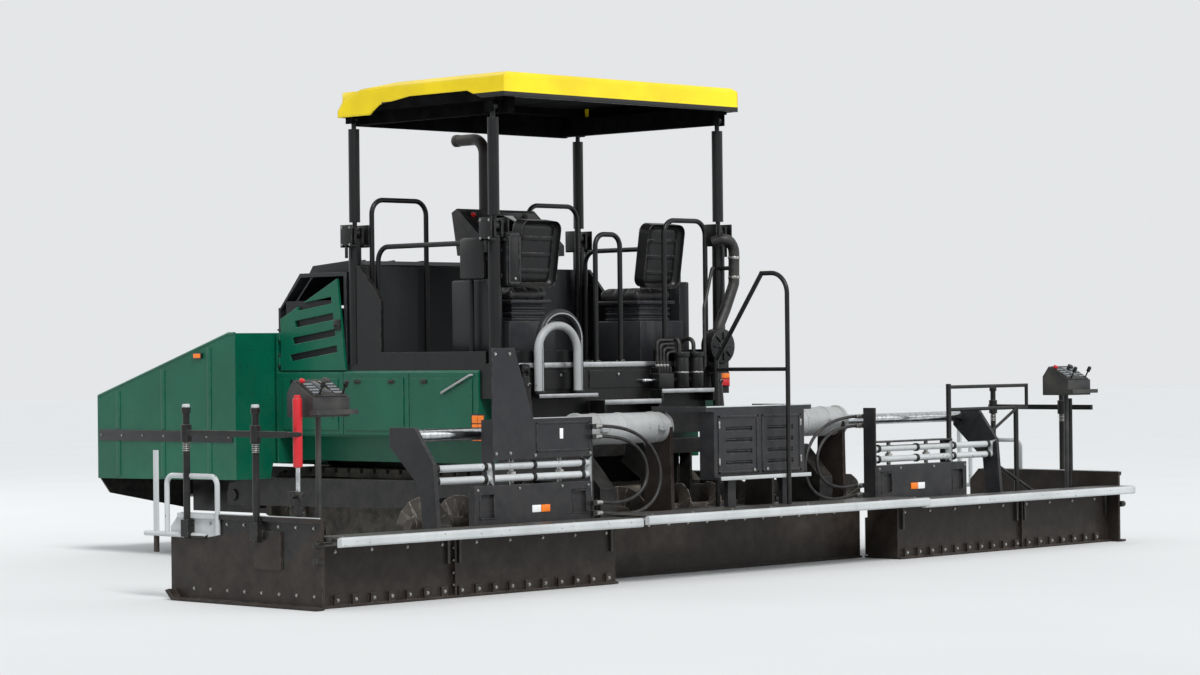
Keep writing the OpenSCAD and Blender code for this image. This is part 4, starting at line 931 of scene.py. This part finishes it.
# Screed: hollow bodies of hot steel plate under a skin of baked tar, with worn sole plates.
# The tar leaves it brown-black and half matt; scraped places and bolt heads shine.
tarred_steel = enamel("tarred_steel", "#221A17", dust=0.13, rough=0.52, wear="#6D625B", worn=0.9,
    specks=1.0)
paint(tarred_steel, "screed_body", "ext_body_left", "ext_body_right", "end_gate_left",
    "end_gate_right")
bolt_row = [1.59 + 0.15 * i for i in range(17)]
mount("screed_bolts", "screed", "screed_steel",
    screws([at(0.679, y, 0.35) for y in [-1.4 + 0.2 * i for i in range(15)]], (-1, 0, 0), 0.011),
    screws([at(0.659, y, 0.395) for y in [-1.45 + 0.29 * i for i in range(11)]], (-1, 0, 0), 0.009),
    of_stuff(charcoal, [pressed(at(0.75, y0, 0.41), at(1.02, y1, 0.432), (0, 0, 1), 0.03, 0.005)
        for y0, y1 in ((-1.07, -0.58), (-0.48, -0.02), (0.02, 0.48), (0.58, 1.07))]))


def extension_bolts():
    rear = screws([at(0.298, y, 0.044) for y in bolt_row], (-1, 0, 0), 0.01)
    flange = screws([at(0.306, 3.006, z) for z in (0.08, 0.16, 0.24, 0.32)], (0, 1, 0), 0.01)
    row = screws([at(0.32, y, 0.345) for y in bolt_row[::2]], (-1, 0, 0), 0.009)
    covers = [pressed(at(0.35, y0, 0.38), at(0.585, y1, 0.396), (0, 0, 1), 0.025, 0.004)
        for y0, y1 in ((3.05, 3.3), (3.42, 3.62))]
    return rear, flange, row, of_stuff(charcoal, covers)


both(extension_bolts, "extension_bolts", "extension", "screed_steel")

# Walkways: pressed steel grip strips with a rolled, pale-painted nosing along the rear edge.
# Boots and mix keep the lozenges bright and leave tar between them.
strip_tread = chequered("grip_strip", "#3B3A39", "#8A8884", dust=0.3)
paint(strip_tread, "walkway_middle", "walkway_left", "walkway_right")
pale = enamel("pale_enamel", "#C6CACB", dust=0.22, rough=0.3, worn=0.3, specks=0.6)
repaint(pale, "walkway_middle", (-0.01, 0, 0), (0.0405, 2, 1))
for end in ("_left", "_right"):
    repaint(pale, "walkway" + end, (0, 1, 0), (0.0865, 5, 1))
mount("walkway_bolts", "screed", "walkway_steel",
    screws([at(0.07, y, 0.465) for y in [-1.4 + 0.4 * i for i in range(8)]], (0, 0, 1), 0.008))


def walkway_bolts():
    return (screws([at(0.115, y, 0.4465) for y in [1.6 + 0.5 * i for i in range(6)]], (0, 0, 1), 0.006),)


both(walkway_bolts, "walkway_bolts", "extension", "walkway_steel")

# Telescopes: hard-chromed tubes that slide in grey housings with wiper rings at their mouths.
chrome = mottled("hard_chrome", "#A9ACAE", "#D3D6D8", 30.0, Metallic=1.0, Roughness=0.17)
paint(chrome, "telescope_left", "telescope_right", "lift_rods")
housing_x, housing_z, housing_end, housing_r = 0.81, 1.03, 1.4, 0.108


def housing_rings():
    ring = bar(at(housing_x, housing_end - 0.03, housing_z), at(housing_x, housing_end + 0.004, housing_z),
        housing_r + 0.008, 0.004, 64)
    strap = [bar(at(housing_x, y, housing_z), at(housing_x, y + 0.03, housing_z), housing_r + 0.004,
        0.002, 64) for y in (0.62, 0.95, 1.2)]
    bolts = screws(circle(housing_x, housing_end + 0.004, housing_z, 0.093, 8, 22.5),
        (0, 1, 0), 0.008)
    lugs = [plate(at(housing_x - 0.135, y - 0.02, housing_z - 0.02), at(housing_x - 0.1, y + 0.05,
        housing_z + 0.02), 0.004) for y in (0.62, 1.2)]
    return of_stuff(grey, ring, strap, lugs), bolts


both(housing_rings, "housing_rings", "screed", "grey_paint")

# Control cabinet: a folded sheet-steel box with two doors, louvre blades, hinges and locks.
cabinet_doors = ((-0.44, -0.02), (0.02, 0.44))
blades, door_rims, locks = [], [], []
for y0, y1 in cabinet_doors:
    door_rims += frame_strips(0.34, y0, y1, 0.7, 1.11, 0.018, 0.006)
    lock_y = y0 + 0.05 if y0 > 0 else y1 - 0.05
    locks.append(bar(at(0.336, lock_y, 0.72), at(0.326, lock_y, 0.72), 0.012))
    hinge_y = y1 - 0.006 if y0 > 0 else y0 + 0.006
    locks += [bar(at(0.334, hinge_y, z), at(0.334, hinge_y, z + 0.05), 0.008) for z in (0.76, 1.02)]
for y in (-0.36, 0.08):
    for i in range(4):
        z = 0.775 + i * 0.08
        blades.append(plate(at(0.336, y + 0.002, z - 0.002), at(0.352, y + 0.278, z + 0.002), 0.001,
            (0, math.radians(35), 0)))
mount("cabinet_fittings", "screed", "charcoal_paint", of_stuff(charcoal, blades, door_rims),
    of_stuff(zinc, locks),
    of_stuff(pale, plate(at(0.336, -0.56, 1.168), at(0.346, 0.56, 1.178), 0.002),
        plate(at(0.274, -0.48, 0.656), at(0.284, 0.48, 0.684), 0.004)))

# Extension guards: folded plate with guide tubes, clamps, a small white marker and corner reflectors.
for end in ("_left", "_right"):
    repaint(pale, "ext_guard" + end, (0.53, 1.5, 0.7), (0.6, 3.0, 0.845))


def guard_fittings():
    clamps = [bar(at(0.565, y, z), at(0.565, y + 0.03, z), 0.031, 0.003) for y in (1.56, 2.02, 2.47, 2.9)
        for z in (0.735, 0.815)]
    rims = frame_strips(0.525, 1.57, 1.7, 0.475, 0.635, 0.008, 0.004)
    rims += frame_strips(0.525, 2.425, 2.565, 0.47, 0.64, 0.008, 0.004)
    reflector = of_stuff(orange_lens, plate(at(0.519, 1.92, 0.5), at(0.526, 2.0, 0.548), 0.002))
    reflector += of_stuff(white_lens, plate(at(0.519, 2.005, 0.5), at(0.526, 2.085, 0.548), 0.002))
    cap_screws = screws([at(0.525, y, z) for y in (1.55, 1.8, 2.2, 2.58) for z in (0.41, 0.665)],
        (-1, 0, 0), 0.008)
    spindle = [bar(at(0.6, y, 0.69), at(0.6, y, 0.86), 0.016) for y in (1.75, 2.2)]
    nuts = [bar(at(0.6, y, 0.74), at(0.6, y, 0.775), 0.03, 0.003, 6) for y in (1.75, 2.2)]
    return (of_stuff(black, clamps), of_stuff(charcoal, rims), reflector, cap_screws,
        of_stuff(zinc, spindle, nuts))


both(guard_fittings, "guard_fittings", "extension", "charcoal_paint")
mount("guard_plate", "extension_left", "frame_black",
    of_stuff(white_lens, plate(at(0.519, 1.79, 0.985), at(0.526, 1.82, 1.055), 0.002)),
    of_stuff(pale, plate(at(0.521, 1.51, 1.1255), at(0.642, 2.06, 1.1285), 0.001)),
    of_stuff(charcoal, frame_strips(0.525, 1.53, 2.04, 0.9, 1.1, 0.014, 0.005)),
    screws([at(0.525, y, z) for y, z in ((1.53, 0.88), (2.05, 0.88), (2.28, 0.9), (2.41, 0.9),
        (2.28, 1.56), (2.41, 1.56))], (-1, 0, 0), 0.009))


# Hose fittings: crimped ferrules and swivel nuts of zinc-plated steel at the hoses' ends.
for end, side in (("_left", 1), ("_right", -1)):
    fittings = []
    for route in hose_routes.values():
        for y, z in (route[0], route[-1]):
            x = hose_stations[end]
            fittings.append(bar(at(x, side * (y - 0.06), z), at(x, side * (y - 0.018), z), 0.0165, 0.002, 24))
            fittings.append(bar(at(x, side * (y - 0.022), z), at(x, side * y, z), 0.02, 0.002, 6))
    mount("hose_ferrules" + end, "extension" + end, "hose_rubber", of_stuff(zinc, fittings))

# End gates: a wear plate on a skid, raised by two threaded spindles with pale knobs.
# The red cylinder beside the left gate tilts its linkage; its rod is chromed.
for end in ("_left", "_right"):
    gate = "end_gate" + end
    repaint(black, gate, (0.45, 4.18, 0.4), (1.56, 4.3, 1.3))
    repaint(pale, gate, (1.19, 4.18, 0.42), (1.46, 4.23, 0.83))
    repaint(pale, gate, (1.54, 4.18, 0.39), (1.97, 4.24, 0.97))


def gate_fittings():
    plate_screws = screws([at(x, 4.19, z) for x in [0.28 + 0.17 * i for i in range(8)]
        for z in (0.08, 0.5)], (0, 1, 0), 0.009)
    knobs = [bar(at(x, 4.222, 1.235), at(x, 4.222, 1.262), 0.026, 0.008, 24) for x in (0.8, 1.5)]
    threads = [bar(at(x, 4.222, 0.96 + 0.012 * k), at(x, 4.222, 0.966 + 0.012 * k), 0.0245, 0.002, 16)
        for x in (0.8, 1.5) for k in range(5)]
    grips = [bar(at(0.215, 4.19, z), at(0.215, 4.245, z), 0.024, 0.006, 24) for z in (0.3, 0.4)]
    nose = [plate(at(0.22, 4.188, 0.555), at(1.6, 4.2, 0.566), 0.003)]
    return (plate_screws, of_stuff(pale, knobs, nose), of_stuff(zinc, threads), of_stuff(black, grips))


both(gate_fittings, "gate_fittings", "extension", "screed_steel")
red_enamel = enamel("red_enamel", "#D0202B", dust=0.25, rough=0.32)
mount("tilt_cylinder", "extension_left", "grey_paint",
    of_stuff(red_enamel, bar(at(0.5, 4.13, 0.87), at(0.5, 4.13, 1.3), 0.03, 0.006, 32),
        bar(at(0.5, 4.13, 1.28), at(0.5, 4.13, 1.32), 0.022, 0.006, 24)),
    of_stuff(chrome, bar(at(0.5, 4.13, 0.68), at(0.5, 4.13, 0.88), 0.014)),
    of_stuff(black, bar(at(0.5, 4.105, 0.7), at(0.5, 4.195, 0.7), 0.024, 0.004),
        plate(at(0.47, 4.12, 0.38), at(0.53, 4.14, 0.7), 0.004),
        plate(at(0.47, 4.12, 1.06), at(0.56, 4.235, 1.09), 0.004)))


# Augers: cast half-turn flights bolted end to end on a shaft, polished by hot mix.
worn_iron = enamel("polished_iron", "#3C3632", dust=0.25, rough=0.42, wear="#A39C94", worn=1.0, corner=0.008)
paint(worn_iron, "auger_left", "auger_right")
auger_x, auger_z = 1.42, 0.4


def auger_clamps():
    joints = (0.07, 0.4, 0.73, 1.34, 1.67, 2.0, 2.33)
    collars = [bar(at(auger_x, y, auger_z), at(auger_x, y + 0.03, auger_z), 0.05, 0.003, 24)
        for y in joints]
    heads = screws([at(auger_x, y + 0.015, auger_z + 0.05) for y in joints], (0, 0, 1), 0.009)
    return of_stuff(worn_iron, collars), heads


both(auger_clamps, "auger_clamps", "auger", "worn_steel")

# Lift cylinders: painted barrels with a screwed gland and a grease nipple, chromed rods.
lift_from, lift_to = at(1.7, 1.02, 1.45), at(1.62, 1.02, 0.75)
lift_way = (lift_to - lift_from).normalized()


def cylinder_gland():
    gland = bar(lift_from + lift_way * 0.375, lift_from + lift_way * 0.396, 0.047, 0.003, 32)
    port = bar(lift_from + lift_way * 0.11, lift_from + lift_way * 0.11 + Vector((-0.06, 0, -0.007)), 0.012)
    nut = bar(lift_from + lift_way * 0.11 + Vector((-0.04, 0, -0.005)), lift_from + lift_way * 0.11
        + Vector((-0.055, 0, -0.006)), 0.017, 0.002, 6)
    return of_stuff(black, gland, port), of_stuff(zinc, nut)


both(cylinder_gland, "cylinder_glands", "lift_barrels", "grey_paint")

# Hopper wings: folded steel walls with a rolled lip, a side strip, a lamp and a rubber skirt.
for end in ("_left", "_right"):
    skirt = "wing" + end
    repaint(hose_rubber, skirt, (5.965, 0.7, 0.32), (5.99, 1.617, 0.985))
wing_side, wing_high, wing_low, wing_tail, wing_nose = 1.63, 1.74, 1.256, 4.227, 5.98
lip_fall = (wing_low - wing_high) / (wing_nose - wing_tail - 0.07)


def on_lip(x, drop=0.0):
    """A height on the wing's sloping top edge, less a drop."""
    return wing_high + lip_fall * max(0.0, x - wing_tail - 0.07) - drop


def wing_trim():
    strip = [plate(at(4.26, wing_side - 0.001, 0.905), at(5.95, wing_side + 0.009, 0.99), 0.003)]
    lip = tube([at(wing_tail + 0.01, wing_side - 0.006, wing_high - 0.004),
        at(wing_tail + 0.08, wing_side - 0.006, wing_high - 0.004),
        at(wing_nose - 0.01, wing_side - 0.006, wing_low)], 0.013, 0.05)
    ribs = []
    for x in (4.52, 5.1, 5.68):
        ribs.append(plate(at(x, wing_side - 0.002, 0.625), at(x + 0.05, wing_side + 0.007, 0.898), 0.003))
        ribs.append(plate(at(x, wing_side - 0.002, 0.997),
            at(x + 0.05, wing_side + 0.007, on_lip(x + 0.05, 0.03)), 0.003))
    lamp_x = 4.62
    lamp = [plate(at(lamp_x, wing_side - 0.002, on_lip(lamp_x, 0.1)), at(lamp_x + 0.1, wing_side + 0.02,
        on_lip(lamp_x, 0.055)), 0.006)]
    lens = [plate(at(lamp_x + 0.008, wing_side + 0.018, on_lip(lamp_x, 0.094)), at(lamp_x + 0.092,
        wing_side + 0.023, on_lip(lamp_x, 0.061)), 0.003)]
    return (of_stuff(charcoal, strip), of_stuff(green, lip, ribs), of_stuff(black, lamp),
        of_stuff(orange_lens, lens), screws([at(x, wing_side + 0.009, 0.947) for x in
            [4.3 + 0.27 * i for i in range(7)]], (0, 1, 0), 0.007))


both(wing_trim, "wing_trim", "wing", "green_paint")


def skirt_clamp():
    """A steel strip with screws that holds the rubber skirt along the wing's floor."""
    a, b = at(5.984, 0.76, 0.73), at(5.984, 1.6, 0.955)
    strip = bar(a, b, 0.012, 0.002, 4)
    return of_stuff(green, strip), screws([a.lerp(b, (k + 0.5) / 6) + Vector((0.01, 0, 0)) for k in range(6)],
        (1, 0, 0), 0.008)


both(skirt_clamp, "skirt_clamps", "wing", "green_paint")

# Push rollers: turned steel drums with end caps, scored by tyres.
roller_steel = mottled("roller_steel", "#5E5B57", "#9C9994", 7.0, grain=120.0, Metallic=0.8, Roughness=0.42)
paint(roller_steel, "push_roller_left", "push_roller_right")
roller_x, roller_z = 6.205, 0.49


def roller_caps():
    caps = [bar(at(roller_x, y - 0.004, roller_z), at(roller_x, y + 0.004, roller_z), 0.072, 0.003, 40)
        for y in (0.126, 0.979)]
    return (of_stuff(roller_steel, caps),
        screws(circle(roller_x, 0.983, roller_z, 0.055, 6), (0, 1, 0), 0.007))


both(roller_caps, "roller_caps", "push_roller", "roller_steel")
mount("push_bar_bolts", "push_bar", "frame_black", screws([at(6.107, y, z)
    for y in (-0.85, -0.6, -0.3, 0.3, 0.6, 0.85) for z in (0.44, 0.54)], (1, 0, 0), 0.012))

# Tail hydraulics: valve bank, filters and looms of short formed pipes on the rear shelf.
# Everything is black with a film of oily dust; unions and filter bands are zinc-plated.
filters = [bar(at(1.68, y, 1.29), at(1.68, y, 1.53), 0.058, 0.014, 32) for y in (-0.78, -0.62)]
filters += [bar(at(1.68, y, 1.52), at(1.68, y, 1.56), 0.066, 0.006, 32) for y in (-0.78, -0.62)]
bank = [plate(at(1.64, -0.5, 1.29), at(1.75, -0.34, 1.4), 0.006)]
bank += [plate(at(1.655, -0.49 + 0.03 * k, 1.4), at(1.74, -0.468 + 0.03 * k, 1.45), 0.004) for k in range(5)]
pipes = []
for k in range(4):
    y = -0.475 + 0.036 * k
    top, far = 1.56 + 0.03 * k, y - 0.1 - 0.03 * k
    pipes.append(tube([at(1.69, y, 1.44), at(1.69, y, top), at(1.69, far, top),
        at(1.8, far, top), at(1.8, far, 1.5)], 0.011, 0.035, 6))
pipes += [tube([at(1.7, y, 1.56), at(1.7, y, 1.66), at(1.83, y, 1.66), at(1.83, y, 1.492)], 0.016, 0.05, 6)
    for y in (-0.78, -0.62)]
pipes += [tube([at(1.742, -0.86, 1.42), at(1.66, -0.86, 1.42), at(1.66, -0.86, 1.9), at(1.72, -1.02, 2.2),
    at(1.79, -1.11, 2.2)], 0.014, 0.08, 6)]
mount("tail_hydraulics", "base", "frame_black", of_stuff(black, filters, bank),
    of_stuff(hose_rubber, pipes), of_stuff(zinc, [bar(at(1.68, y, 1.4), at(1.68, y, 1.412), 0.0595, 0.001, 32)
        for y in (-0.78, -0.62)], [bar(at(1.69, -0.475 + 0.036 * k, 1.45), at(1.69, -0.475 + 0.036 * k, 1.47),
            0.017, 0.002, 6) for k in range(4)]))


# Step edges: strips of bare aluminium along the deck and the steps at the tail.
# They are rubbed bright by boots, and a steel grab bar crosses the tail doors.
aluminium = mottled("extruded_aluminium", "#B2B4B5", "#C8CACB", 14.0, Metallic=1.0, Roughness=0.4)
mount("step_edges", "base", "walkway_steel", of_stuff(aluminium,
    plate(at(1.742, -1.02, 1.455), at(1.76, 1.02, 1.4935), 0.003),
    plate(at(1.584, -0.3, 1.178), at(1.6, 0.3, 1.215), 0.003),
    plate(at(1.614, -0.93, 1.253), at(1.63, -0.34, 1.285), 0.003),
    plate(at(1.614, 0.34, 1.238), at(1.63, 0.94, 1.267), 0.003)),
    of_stuff(chrome, tube([at(1.745, -0.24, 1.35), at(1.7, -0.24, 1.35), at(1.7, -0.84, 1.35),
        at(1.745, -0.84, 1.35)], 0.015, 0.03, 8)))


def conduit_collars():
    """Clamps at the feet of the two arched conduits."""
    return [bar(at(x, y, 1.262), at(x, y, 1.29), 0.04, 0.004, 28) for x, y in
        ((1.708, 0.44), (1.708, 0.84), (1.658, 0.51), (1.658, 0.91))]


mount("conduit_collars", "base", "grey_paint", of_stuff(black, conduit_collars()))

# Service flaps on the black panels between the deck and the hood, with ring handles.
def side_flaps():
    flaps = [pressed(at(3.14, 1.178, 1.62), at(3.28, 1.188, 2.1), (0, 1, 0), 0.02, 0.004)]
    ring = tube([at(3.22, 1.18, 1.93), at(3.22, 1.215, 1.93), at(3.22, 1.215, 1.8), at(3.22, 1.18, 1.8)],
        0.009, 0.03)
    return of_stuff(black, flaps, ring), screws([at(x, 1.188, z) for x in (3.155, 3.265)
        for z in (1.64, 2.08)], (0, 1, 0), 0.006)


both(side_flaps, "side_flaps", "base", "frame_black")
